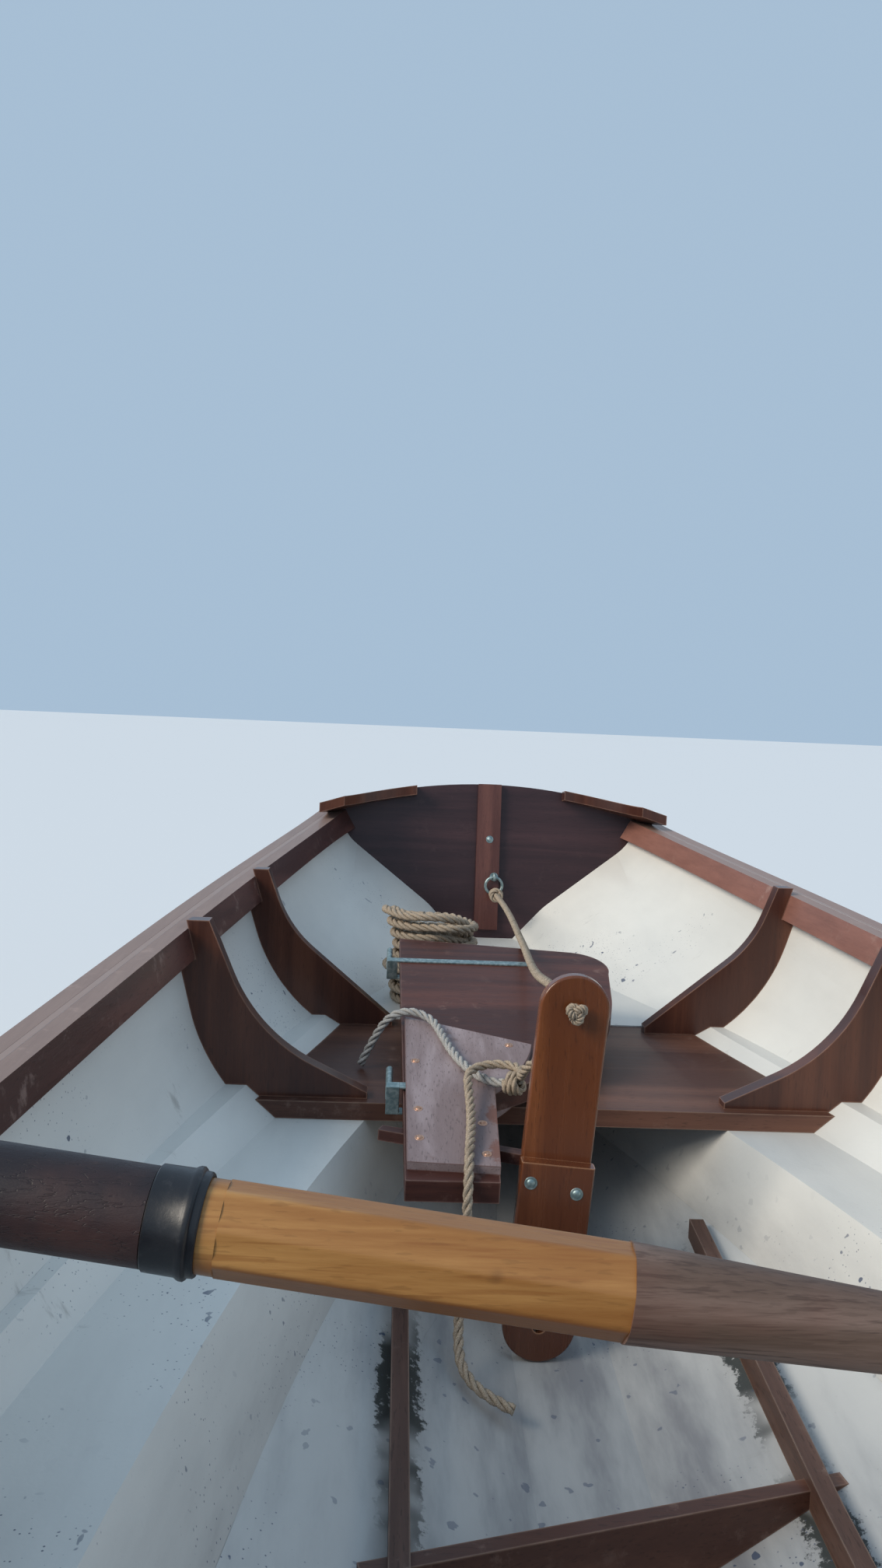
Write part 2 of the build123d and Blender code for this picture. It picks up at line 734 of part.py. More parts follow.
for lock in ROWLOCKS:
    save(rowlock(lock), f"rowlock_{lock.number}")


# The oar lies along Z here, with its handle's end at the origin
COLLAR_END = COLLAR_START + COLLAR_LENGTH
LEATHER_END = COLLAR_END + FIT + LEATHER_LENGTH
LOOM_FLATS = 26.6         # half the width over flats of the eight-sided loom

with BuildPart() as grip:
    with BuildSketch(Plane.XZ):
        with BuildLine():
            Polyline(
                (0, 0),
                (GRIP_RADIUS - 5, 0),
                (GRIP_RADIUS, 5),
                (GRIP_RADIUS, GRIP_LENGTH * 0.35),
                (GRIP_ROOT_RADIUS, GRIP_LENGTH),
                (0, GRIP_LENGTH),
                close=True,
            )
        make_face()
    revolve(axis=Axis.Z)

with BuildPart() as loom:
    with BuildSketch(Plane.XY.offset(GRIP_LENGTH)) as facets:
        RegularPolygon(LOOM_FLATS, 8, major_radius=False, rotation=22.5)
        fillet(facets.vertices(), 7)
    extrude(amount=COLLAR_START - GRIP_LENGTH)
    with BuildSketch(Plane.XZ):
        with BuildLine():
            Polyline(
                (0, COLLAR_START),
                (LOOM_RADIUS, COLLAR_START),
                (LOOM_RADIUS, LEATHER_END + 20),
                (NECK_RADIUS, NECK_AT),
                (7, NECK_AT + 560),
                (0, NECK_AT + 562),
                close=True,
            )
        make_face()
    revolve(axis=Axis.Z)
    with BuildSketch(Plane.XZ):
        with BuildLine():
            shoulder = (BLADE_HALF_WIDTH * 0.8, NECK_AT + 220)
            widest = (BLADE_HALF_WIDTH, NECK_AT + 520)
            tip = (BLADE_HALF_WIDTH - 8, OAR_LENGTH - 16)
            Line((0, NECK_AT - 60), (12, NECK_AT - 40))
            Line((12, NECK_AT - 40), shoulder)
            Line(shoulder, widest)
            Line(widest, tip)
            ThreePointArc(tip, (BLADE_HALF_WIDTH * 0.5, OAR_LENGTH - 3), (0, OAR_LENGTH))
            Line((0, OAR_LENGTH), (0, NECK_AT - 60))
        make_face()
        mirror(about=Plane.YZ)
    extrude(amount=BLADE_THICKNESS / 2, both=True)

with BuildPart() as collar:
    with BuildSketch(Plane.XZ):
        with BuildLine():
            inside = LOOM_RADIUS + FIT
            Polyline(
                (inside, COLLAR_START),
                (COLLAR_RADIUS - 2, COLLAR_START),
                (COLLAR_RADIUS - 2, COLLAR_START + 16),
                (COLLAR_RADIUS, COLLAR_START + 19),
                (COLLAR_RADIUS, COLLAR_START + 26),
                (COLLAR_RADIUS - 1.5, COLLAR_START + 29),
                (COLLAR_RADIUS - 1.5, COLLAR_END),
                (inside, COLLAR_END),
                close=True,
            )
        make_face()
    revolve(axis=Axis.Z)

with BuildPart() as leather:
    with Locations((0, 0, COLLAR_END + FIT + LEATHER_LENGTH / 2)):
        Cylinder(LEATHER_RADIUS, LEATHER_LENGTH)
        Cylinder(LOOM_RADIUS + FIT, LEATHER_LENGTH, mode=Mode.SUBTRACT)

# The stroke oar lies pulled in through its rowlock, blade end up and a little aft
stroke = ROWLOCKS[0]
tilt, yaw = radians(STROKE_TILT), radians(STROKE_YAW)
stroke_run = Vector(-sin(yaw) * cos(tilt), -cos(yaw) * cos(tilt), sin(tilt))
ring_bottom = stroke.top + RING_RISE - HORN_INSIDE
stroke_height = ring_bottom + (LEATHER_RADIUS + HORN_WIDTH / 2 * sin(tilt)) / cos(tilt) + FIT
stroke_plane = Plane(
    origin=Vector(stroke.x, stroke.y, stroke_height) - stroke_run * STROKE_PIVOT_AT,
    x_dir=stroke_run.cross(Vector(0, 0, 1)),
    z_dir=stroke_run,
)

# The other three lie along the forward thwarts on their collars, blades to the bow
STOWED_YS = (-142.0, 0.0, 142.0)
STOWED_HANDLE_X = -750.0
rest_height = THWART_TOP + FIT
last_rest = THWART_XS[-1] + THWART_WIDTH / 2
taper = (LOOM_RADIUS - NECK_RADIUS) / (NECK_AT - LEATHER_END - 20)
last_radius = LOOM_RADIUS - taper * (last_rest - STOWED_HANDLE_X - LEATHER_END - 20)
collar_x = STOWED_HANDLE_X + COLLAR_START + 22
drop = (COLLAR_RADIUS - last_radius) / (last_rest - collar_x)
stowed_run = Vector(1, 0, -drop).normalized()
handle_z = rest_height + COLLAR_RADIUS + drop * (collar_x - STOWED_HANDLE_X) + FIT
stowed_planes = [
    Plane(origin=(STOWED_HANDLE_X, y, handle_z), x_dir=(0, 1, 0), z_dir=stowed_run)
    for y in STOWED_YS
]

OAR_PARTS = {"grip": grip.part, "loom": loom.part, "collar": collar.part, "leather": leather.part}
for name, piece in OAR_PARTS.items():
    with BuildPart() as stroke_piece:
        with Locations(stroke_plane.location):
            add(piece)
    save(stroke_piece.part, f"stroke_oar_{name}")
    with BuildPart() as stowed_pieces:
        with Locations(*[plane.location for plane in stowed_planes]):
            add(piece)
    save(stowed_pieces.part, f"stowed_oar_{name}s")

# Rudder, unshipped, lying on the seat's fore edge; local x runs to its tip
slope = radians(RUDDER_SLOPE)
rudder_plane = Plane(
    origin=(COX_SEAT_FRONT, 0, COX_SEAT_TOP + FIT),
    x_dir=(-cos(slope), 0, sin(slope)),
    z_dir=(sin(slope), 0, cos(slope)),
)


def bar_body(grow):
    """The bar through the rudder's head, square to nothing, widened all round by grow."""
    with BuildPart() as bar:
        with Locations(Location(BAR_MIDDLE, (-BAR_FALL, 0, -BAR_YAW))):
            with Locations((0, 150 - BAR_OUT, 0)):
                Box(BAR_DEPTH + 2 * grow, 300 + 2 * grow, BAR_HEIGHT + 2 * grow)
    return bar.part


with BuildPart() as rudder_blade:
    with BuildSketch(rudder_plane.offset(CHEEK)):
        with BuildLine():
            Polyline((-35, 78), (-240, 86), (-240, 198), (500, 210), (462, -90))
            ThreePointArc((462, -90), (440, -130), (375, -144))
            Line((375, -144), (270, -132))
            ThreePointArc((270, -132), (82, -56), (-35, 78))
        make_face()
    extrude(amount=RUDDER_CORE)
    add(bar_body(FIT), mode=Mode.SUBTRACT)
save(rudder_blade.part, "rudder_blade")

with BuildPart() as rudder_cheeks:
    for level in (0, CHEEK + RUDDER_CORE):
        with BuildSketch(rudder_plane.offset(level)):
            with BuildLine():
                Polyline((-38, 79), (-224, 85), (-218, 196), (167, 200), (89, 17))
                ThreePointArc((89, 17), (20, 38), (-38, 79))
            make_face()
        extrude(amount=CHEEK)
save(rudder_cheeks.part, "rudder_cheeks")

with BuildPart() as rudder_bar:
    add(bar_body(0))
    block((-2600, YOKE_X - YOKE_THICKNESS), (-400, YOKE_Y + YOKE_WIDTH / 2), (0, 400), mode=Mode.INTERSECT)
save(rudder_bar.part, "rudder_bar")

lean = radians(YOKE_LEAN)
yoke_plane = Plane(origin=(YOKE_X, YOKE_Y, YOKE_Z), x_dir=(0, cos(lean), -sin(lean)), z_dir=(1, 0, 0))


def yoke_arm(name, base, width, foot, head, rounded_at_head):
    """A plank with one rounded end and a hole for its line."""
    with BuildPart() as arm:
        with BuildSketch(base):
            with BuildLine():
                half = width / 2
                if rounded_at_head:
                    square, round_end, reach = foot, head, head - half
                else:
                    square, round_end, reach = head, foot, foot + half
                Polyline((-half, reach), (-half, square), (half, square), (half, reach))
                ThreePointArc((half, reach), (0, round_end), (-half, reach))
            make_face()
            with Locations((0, reach)):
                Circle(YOKE_HOLE_RADIUS, mode=Mode.SUBTRACT)
        extrude(amount=YOKE_THICKNESS)
        rim = arm.faces().filter_by(Axis.X).edges().filter_by(GeomType.CIRCLE)
        fillet(rim.sort_by(SortBy.RADIUS)[-2:], 3)
    save(arm.part, name)


YOKE_FOOT = -41.6
lap_low, lap_high = YOKE_LAP_BOTTOM - YOKE_Z, YOKE_LAP_TOP - YOKE_Z
yoke_arm("yoke_upper_arm", yoke_plane.offset(-YOKE_THICKNESS), YOKE_WIDTH, lap_low, YOKE_TOP - YOKE_Z, True)
yoke_arm("yoke_lower_arm", yoke_plane, YOKE_WIDTH + 4, YOKE_FOOT - YOKE_Z, lap_high, False)

# Rudder fittings: two pintles on the leading edge, two gudgeons on the stern
LEADING_EDGE = (202.0, 208.5)
with BuildPart(rudder_plane) as rudder_pintles:
    for u, edge, thick, arm in zip(
        PINTLE_AT, LEADING_EDGE, (RUDDER_CORE + 2 * CHEEK, RUDDER_CORE), (64.0, STRAP_LENGTH)
    ):
        middle = CHEEK + RUDDER_CORE / 2
        for w in (middle - thick / 2 - STRAP_THICKNESS / 2, middle + thick / 2 + STRAP_THICKNESS / 2):
            with Locations((u, edge - arm / 2, w)):
                Box(STRAP_WIDTH, arm + 8, STRAP_THICKNESS)
        with Locations((u, edge + 4 + PINTLE_OFFSET / 2, middle)):
            Box(STRAP_WIDTH, PINTLE_OFFSET, thick + 2 * STRAP_THICKNESS)
        with Locations((u + PINTLE_LENGTH / 2, edge + PINTLE_OFFSET, middle)):
            Cylinder(PINTLE_RADIUS, PINTLE_LENGTH, rotation=(0, 90, 0))
save(rudder_pintles.part, "rudder_pintles")

rake = radians(TRANSOM_RAKE)
with BuildPart() as gudgeons:
    for level, wing in zip(GUDGEON_LEVELS, (110.0, KEEL_WIDTH + 6)):
        face = (transom_aft_x(level), 0, level)
        gudgeon_plane = Plane(origin=face, x_dir=(0, 1, 0), z_dir=(-sin(rake), 0, cos(rake)))
        with BuildSketch(gudgeon_plane.offset(-GUDGEON_HEIGHT / 2)):
            with Locations((0, GUDGEON_REACH)):
                Circle(12)
            with Locations((0, GUDGEON_REACH / 2)):
                Rectangle(20, GUDGEON_REACH)
            with Locations((0, 1.5)):
                Rectangle(wing, 3)
            with Locations((0, GUDGEON_REACH)):
                Circle(GUDGEON_BORE, mode=Mode.SUBTRACT)
        extrude(amount=GUDGEON_HEIGHT)
save(gudgeons.part, "gudgeons")

# Ring bolt on the transom's doubler: local x to port, y up the board, z forward
EYE_AT = (16.0, -163.0)
EYE_WIRE, EYE_RADIUS = 3.0, 8.0
RING_WIRE, RING_RADIUS = 3.5, 20.0
EYE_OUT = DOUBLER_THICKNESS + 10.0
with BuildPart(transom_plane) as ring_bolt:
    with Locations(Location((*EYE_AT, EYE_OUT), (0, 90, 0))):
        Torus(EYE_RADIUS, EYE_WIRE)
    with Locations((*EYE_AT, DOUBLER_THICKNESS - 20)):
        Box(60, 60, 40, mode=Mode.SUBTRACT)
    with Locations((*EYE_AT, DOUBLER_THICKNESS + 1.5)):
        Cylinder(10, 3)
save(ring_bolt.part, "ring_bolt")

ring_drop = EYE_RADIUS - EYE_WIRE - RING_WIRE - FIT + RING_RADIUS
ring_lean = degrees(asin((EYE_OUT - DOUBLER_THICKNESS - RING_WIRE - FIT) / (2 * RING_RADIUS)))
with BuildPart(transom_plane) as transom_ring:
    top = Location((*EYE_AT, EYE_OUT)) * Location((0, RING_RADIUS - ring_drop, 0), (ring_lean, 0, 0))
    with Locations(top * Location((0, -RING_RADIUS, 0))):
        Torus(RING_RADIUS, RING_WIRE)
save(transom_ring.part, "transom_ring")


# Lines: their corners in millimetres, each turned by an arc that touches both its runs
def on_rudder(u, v, w):
    """A point given along, across and over the rudder."""
    point = rudder_plane.from_local_coords(Vector(u, v, w))
    return (point.X, point.Y, point.Z)


def cord(name, corners, diameter):
    """A round line through its corners."""
    points = [Vector(*corner) for corner in corners]
    radii = []
    for a, b, c in zip(points, points[1:], points[2:]):
        turn = radians((b - a).get_angle(c - b))
        radii.append(0.45 * min((b - a).length, (c - b).length) / tan(turn / 2))
    with BuildPart() as line:
        with BuildLine() as route:
            FilletPolyline(*points, radius=radii)
        with BuildSketch(Plane(origin=route.line @ 0, z_dir=route.line % 0)):
            Circle(diameter / 2)
        sweep()
    length = sum(edge.length for edge in route.edges())
    filled = line.part.volume / (pi * diameter**2 / 4 * length)
    print(f"{name}: {length:.1f} mm, smallest radius {min(radii):.1f} mm, volume ratio {filled:.4f}")
    save(line.part, name)


CHEEK_TOP = 2 * CHEEK + RUDDER_CORE
cord(
    "rudder_line",
    [
        on_rudder(u, v, CHEEK_TOP + over)
        for u, v, over in (
            (153, 264, -74),
            (160, 244, -34),
            (160, 222, 2),
            (157, 190, 13),
            (142, 160, 6.5),
            (106, 149, 5.4),
            (66, 140, 5.3),
            (28, 128, 5.3),
            (-4, 113, 5.3),
            (-28, 96, 5.4),
            (-44, 76, 7),
            (-56, 56, 16),
        )
    ],
    10.0,
)
cord(
    "yoke_line",
    [
        (-2178, 22, 322),
        (-2184, -30, 318),
        (-2214, -53, 290),
        (-2244, -53, 270),
        (-2270, -49, 265),
        (-2300, -48, 264),
        (-2321, -68.6, 263),
        (-2321, -97.6, 260),
        (-2300, -118, 256),
        (-2265, -117, 242),
        (-2225, -116, 228),
        (-2184, -118.5, 218),
        (-2145, -122, 209),
        (-2114, -124, 190),
        (-2103, -125, 155),
        (-2102, -126, 112),
        (-2100, -128, 70),
        (-2094, -130, 34),
        (-2076, -131, 8),
        (-2045, -127, -5),
        (-2017, -105, -15),
        (-2005, -72, -24),
    ],
    10.0,
)
cord(
    "upper_yoke_line",
    [
        (-3540, 18, 303),
        (-3410, 20, 308),
        (-3280, 20, 312.5),
        (-3150, 18, 316.5),
        (-3020, 14, 321),
        (-2890, 9, 326),
        (-2760, 4, 332.5),
        (-2630, -4, 341),
        (-2500, -12, 353),
        (-2380, -19, 369),
        (-2280, -19, 384),
        (-2205, -7, 384.6),
        (-2147, -3.3, 381.6),
    ],
    11.0,
)

# The knot that stops the upper line on the yoke's fore side
with BuildPart() as stopper_knot:
    with Locations((-2147 + 14, -2.4, 381)):
        Sphere(14)
    block((-2147, -2100), (-60, 60), (300, 460), mode=Mode.INTERSECT)
save(stopper_knot.part, "stopper_knot")

# The mooring rope's coil on the stern bench, its upper turns clear of the rudder's end
COIL_TURNS = ((-2940.0, 100.0, STERN_TANK_TOP + FIT, 290.0), (-2952.0, 84.0, 290.0, 344.0))
COIL_Y = -134.0
with BuildPart() as mooring_coil:
    for x, radius, low, high in COIL_TURNS:
        with Locations((x, COIL_Y, (low + high) / 2)):
            Cylinder(radius, high - low)
    rims = mooring_coil.edges().filter_by(GeomType.CIRCLE).group_by(Axis.Z)
    fillet(rims[0] + rims[-1], 7)
    with Locations((COIL_TURNS[1][0], COIL_Y, 300)):
        Cylinder(40, 400, mode=Mode.SUBTRACT)
save(mooring_coil.part, "mooring_coil")
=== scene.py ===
"""Looks of the four-oared rowing gig, seen from the stroke rower's place, looking aft.

Metres, +X to the bow, +Y to port, +Z up, with the water's surface at z = 0.
"""

import json
from math import cos, pi, radians, sin

import bmesh
import bpy
from mathutils import Matrix, Vector
from mathutils.bvhtree import BVHTree
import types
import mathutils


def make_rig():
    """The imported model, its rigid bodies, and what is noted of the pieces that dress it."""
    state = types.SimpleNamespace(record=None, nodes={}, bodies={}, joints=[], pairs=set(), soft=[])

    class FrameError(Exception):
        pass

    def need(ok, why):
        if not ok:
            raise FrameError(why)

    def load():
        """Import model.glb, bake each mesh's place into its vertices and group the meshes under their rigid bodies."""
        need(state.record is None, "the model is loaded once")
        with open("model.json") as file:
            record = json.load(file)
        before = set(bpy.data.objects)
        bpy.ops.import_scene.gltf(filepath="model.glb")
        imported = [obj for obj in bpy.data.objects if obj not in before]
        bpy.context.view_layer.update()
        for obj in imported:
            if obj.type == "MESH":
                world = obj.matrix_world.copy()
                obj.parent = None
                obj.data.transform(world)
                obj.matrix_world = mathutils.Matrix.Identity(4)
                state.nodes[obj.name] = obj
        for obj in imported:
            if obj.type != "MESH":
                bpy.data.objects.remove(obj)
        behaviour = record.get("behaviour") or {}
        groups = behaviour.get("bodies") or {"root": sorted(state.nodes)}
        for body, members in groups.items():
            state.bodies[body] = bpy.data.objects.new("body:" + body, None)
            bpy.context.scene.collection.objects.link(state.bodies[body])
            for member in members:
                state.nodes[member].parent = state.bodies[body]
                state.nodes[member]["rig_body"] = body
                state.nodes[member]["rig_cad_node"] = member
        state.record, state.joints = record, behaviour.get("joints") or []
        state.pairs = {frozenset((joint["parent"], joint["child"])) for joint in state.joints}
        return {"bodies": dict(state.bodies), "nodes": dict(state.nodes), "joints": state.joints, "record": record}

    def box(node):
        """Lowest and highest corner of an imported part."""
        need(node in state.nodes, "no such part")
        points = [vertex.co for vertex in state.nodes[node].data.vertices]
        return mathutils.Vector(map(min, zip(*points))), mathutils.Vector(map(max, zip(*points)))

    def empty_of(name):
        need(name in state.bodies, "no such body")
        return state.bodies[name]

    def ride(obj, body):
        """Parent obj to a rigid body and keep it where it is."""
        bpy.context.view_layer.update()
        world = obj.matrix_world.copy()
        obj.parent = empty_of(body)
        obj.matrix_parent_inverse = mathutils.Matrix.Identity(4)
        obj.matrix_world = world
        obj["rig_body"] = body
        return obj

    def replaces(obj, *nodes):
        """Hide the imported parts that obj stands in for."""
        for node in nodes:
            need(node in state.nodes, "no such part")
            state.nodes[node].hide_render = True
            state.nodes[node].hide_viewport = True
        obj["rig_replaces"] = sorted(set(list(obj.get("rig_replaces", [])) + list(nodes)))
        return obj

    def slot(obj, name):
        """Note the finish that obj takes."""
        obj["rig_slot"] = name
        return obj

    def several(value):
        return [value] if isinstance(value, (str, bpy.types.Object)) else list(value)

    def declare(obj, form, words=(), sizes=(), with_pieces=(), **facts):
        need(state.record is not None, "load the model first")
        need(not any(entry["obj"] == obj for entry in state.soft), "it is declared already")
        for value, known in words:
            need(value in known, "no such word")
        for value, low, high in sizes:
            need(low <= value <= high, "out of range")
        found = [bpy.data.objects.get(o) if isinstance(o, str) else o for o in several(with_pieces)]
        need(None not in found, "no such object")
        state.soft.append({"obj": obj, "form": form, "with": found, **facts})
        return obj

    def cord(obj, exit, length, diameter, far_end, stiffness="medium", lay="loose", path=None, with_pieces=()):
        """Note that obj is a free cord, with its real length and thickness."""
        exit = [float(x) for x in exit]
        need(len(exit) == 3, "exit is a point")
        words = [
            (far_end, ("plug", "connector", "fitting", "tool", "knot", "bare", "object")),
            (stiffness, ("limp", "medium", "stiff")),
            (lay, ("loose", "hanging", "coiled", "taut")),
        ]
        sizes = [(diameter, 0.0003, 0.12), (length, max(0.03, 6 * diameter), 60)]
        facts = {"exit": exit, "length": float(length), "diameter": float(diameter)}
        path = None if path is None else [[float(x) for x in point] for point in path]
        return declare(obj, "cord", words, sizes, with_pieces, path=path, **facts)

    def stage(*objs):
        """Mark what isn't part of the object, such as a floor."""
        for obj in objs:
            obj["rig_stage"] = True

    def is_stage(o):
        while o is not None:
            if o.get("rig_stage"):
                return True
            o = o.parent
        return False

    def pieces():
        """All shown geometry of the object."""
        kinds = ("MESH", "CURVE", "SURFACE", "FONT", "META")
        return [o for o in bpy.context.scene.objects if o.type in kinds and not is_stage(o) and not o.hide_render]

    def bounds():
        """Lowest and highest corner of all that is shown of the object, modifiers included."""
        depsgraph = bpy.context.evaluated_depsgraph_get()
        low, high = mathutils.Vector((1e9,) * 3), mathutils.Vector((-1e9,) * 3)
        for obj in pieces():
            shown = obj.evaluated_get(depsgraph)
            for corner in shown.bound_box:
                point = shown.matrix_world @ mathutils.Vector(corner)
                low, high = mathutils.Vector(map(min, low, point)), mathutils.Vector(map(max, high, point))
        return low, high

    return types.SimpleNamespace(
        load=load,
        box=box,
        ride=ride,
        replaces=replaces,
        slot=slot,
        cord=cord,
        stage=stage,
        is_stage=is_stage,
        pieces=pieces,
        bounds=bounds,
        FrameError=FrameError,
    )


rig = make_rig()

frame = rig.load()
cad_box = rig.bounds()
NODES = frame["nodes"]
BOAT = "boat"
STROKE = "stroke_oar"

# The photograph's camera
PHOTO_HEIGHT = 2016.0
FOCAL_PIXELS = 1490.0
EYE = Vector((-0.7988, -0.2251, 0.7272))
EYE_YAW = -0.0378
EYE_PITCH = 0.0607
EYE_ROLL = 0.0415
SENSOR = 36.0


def make_camera():
    """A camera at the photograph's place, with its lens and its small roll."""
    ahead = Vector((
        -cos(EYE_YAW) * cos(EYE_PITCH),
        -sin(EYE_YAW) * cos(EYE_PITCH),
        -sin(EYE_PITCH),
    ))
    level = ahead.cross(Vector((0, 0, 1))).normalized()
    above = level.cross(ahead)
    right = level * cos(EYE_ROLL) + above * sin(EYE_ROLL)
    up = above * cos(EYE_ROLL) - level * sin(EYE_ROLL)
    data = bpy.data.cameras.new("eye")
    data.sensor_fit = "VERTICAL"
    data.sensor_height = SENSOR
    data.lens = FOCAL_PIXELS / PHOTO_HEIGHT * SENSOR
    data.clip_start = 0.02
    data.clip_end = 200
    camera = bpy.data.objects.new("eye", data)
    turn = Matrix((right, up, -ahead)).transposed().to_4x4()
    camera.matrix_world = Matrix.Translation(EYE) @ turn
    bpy.context.scene.collection.objects.link(camera)
    bpy.context.scene.camera = camera


make_camera()


class Term:
    """A shader socket that takes part in Python arithmetic."""

    def __init__(self, paint, socket):
        self.paint = paint
        self.socket = socket

    def maths(self, operation, *values, clamp=False):
        settings = {"operation": operation, "use_clamp": clamp}
        return self.paint.node("ShaderNodeMath", settings, dict(enumerate((self,) + values)))

    def __add__(self, other):
        return self.maths("ADD", other)

    def __sub__(self, other):
        return self.maths("SUBTRACT", other)

    def __mul__(self, other):
        return self.maths("MULTIPLY", other)

    def __truediv__(self, other):
        return self.maths("DIVIDE", other)

    def __pow__(self, other):
        return self.maths("POWER", other)

    __radd__ = __add__
    __rmul__ = __mul__

    def __rsub__(self, other):
        return (self * -1) + other

    def __abs__(self):
        return self.maths("ABSOLUTE")

    def over(self, low, high):
        """0 below low, 1 above high, smooth between; low may be the larger."""
        settings = {"interpolation_type": "SMOOTHSTEP", "clamp": True}
        links = {"Value": self, "From Min": low, "From Max": high}
        return self.paint.node("ShaderNodeMapRange", settings, links)

    def most(self, other):
        return self.maths("MAXIMUM", other)

    def held(self):
        """Kept between 0 and 1."""
        return self.maths("ADD", 0.0, clamp=True)


class Paint:
    """A material and the node methods that fill it."""

    def __init__(self, name, **sockets):
        self.material = bpy.data.materials.new(name)
        self.material.use_nodes = True
        self.tree = self.material.node_tree
        self.tree.nodes.clear()
        self.shader = self.tree.nodes.new("ShaderNodeBsdfPrincipled")
        out = self.tree.nodes.new("ShaderNodeOutputMaterial")
        self.tree.links.new(self.shader.outputs[0], out.inputs["Surface"])
        for key, value in sockets.items():
            self.shader.inputs[key.replace("_", " ")].default_value = value

    def node(self, kind, settings=None, links=None, out=0):
        """Adds a node, its settings first, then its sockets' values or links."""
        made = self.tree.nodes.new(kind)
        for key, value in (settings or {}).items():
            setattr(made, key, value)
        for key, value in (links or {}).items():
            if isinstance(value, Term):
                self.tree.links.new(value.socket, made.inputs[key])
            else:
                made.inputs[key].default_value = value
        return Term(self, made.outputs[out])

    def place(self, turn=(0, 0, 0), stretch=(1, 1, 1)):
        """Object coordinates, turned and stretched for a grain."""
        here = self.node("ShaderNodeTexCoord", out="Object")
        links = {"Vector": here, "Rotation": turn, "Scale": stretch}
        return self.node("ShaderNodeMapping", {"vector_type": "POINT"}, links)

    def axes(self):
        here = self.node("ShaderNodeTexCoord", out="Object")
        links = {"Vector": here}
        return [self.node("ShaderNodeSeparateXYZ", None, links, out=axis) for axis in "XYZ"]

    def noise(self, where, scale, detail, rough=0.55, twist=0.0):
        links = {
            "Vector": where,
            "Scale": scale,
            "Detail": detail,
            "Roughness": rough,
            "Distortion": twist,
        }
        return self.node("ShaderNodeTexNoise", {"noise_dimensions": "3D"}, links, out="Fac")

    def specks(self, where, scale, size):
        """1 inside small round marks about a random point of each cell."""
        links = {"Vector": where, "Scale": scale}
        gap = self.node("ShaderNodeTexVoronoi", {"feature": "F1"}, links, out="Distance")
        return gap.over(size, size * 0.6)

    def mix(self, factor, a, b):
        """Mixes two colours, given as three numbers or as a term."""
        settings = {"data_type": "RGBA", "clamp_factor": True}
        tidy = [v if isinstance(v, Term) else (*v, 1.0) for v in (a, b)]
        return self.node("ShaderNodeMix", settings, {0: factor, 6: tidy[0], 7: tidy[1]}, out=2)

    def lean(self, low, high):
        """0 to 1 as the upward part of a face's direction goes from low to high."""
        normal = self.node("ShaderNodeNewGeometry", out="Normal")
        return self.node("ShaderNodeSeparateXYZ", None, {"Vector": normal}, out="Z").over(low, high)

    def facing_up(self):
        """1 on faces that look up."""
        return self.lean(0.75, 0.92)

    def edges(self, radius):
        """1 within a radius of a sharp edge."""
        rounded = self.node("ShaderNodeBevel", {"samples": 6}, {"Radius": radius})
        flat = self.node("ShaderNodeNewGeometry", out="True Normal")
        links = {0: rounded, 1: flat}
        agree = self.node("ShaderNodeVectorMath", {"operation": "DOT_PRODUCT"}, links, out="Value")
        return agree.over(0.985, 0.86)

    def bump(self, height, distance, strength, under=None):
        links = {"Height": height, "Distance": distance, "Strength": strength}
        if under is not None:
            links["Normal"] = under
        return self.node("ShaderNodeBump", None, links)

    def feed(self, **terms):
        for key, term in terms.items():
            self.tree.links.new(term.socket, self.shader.inputs[key.replace("_", " ")])
        return self.material


# The gunwale's pale tops, weathered wood with painted light where they face up, and the stretcher rails' place and
# half width
TOP_WEATHER_AND_PAINTED_LIGHT = (0.335, 0.230, 0.190)
RAIL_Y = 0.198
RAIL_HALF = 0.0095
# How far from an edge the pale edge colour reaches: worn varnish and painted highlight
WEAR_AND_HIGHLIGHT_REACH = 0.0035


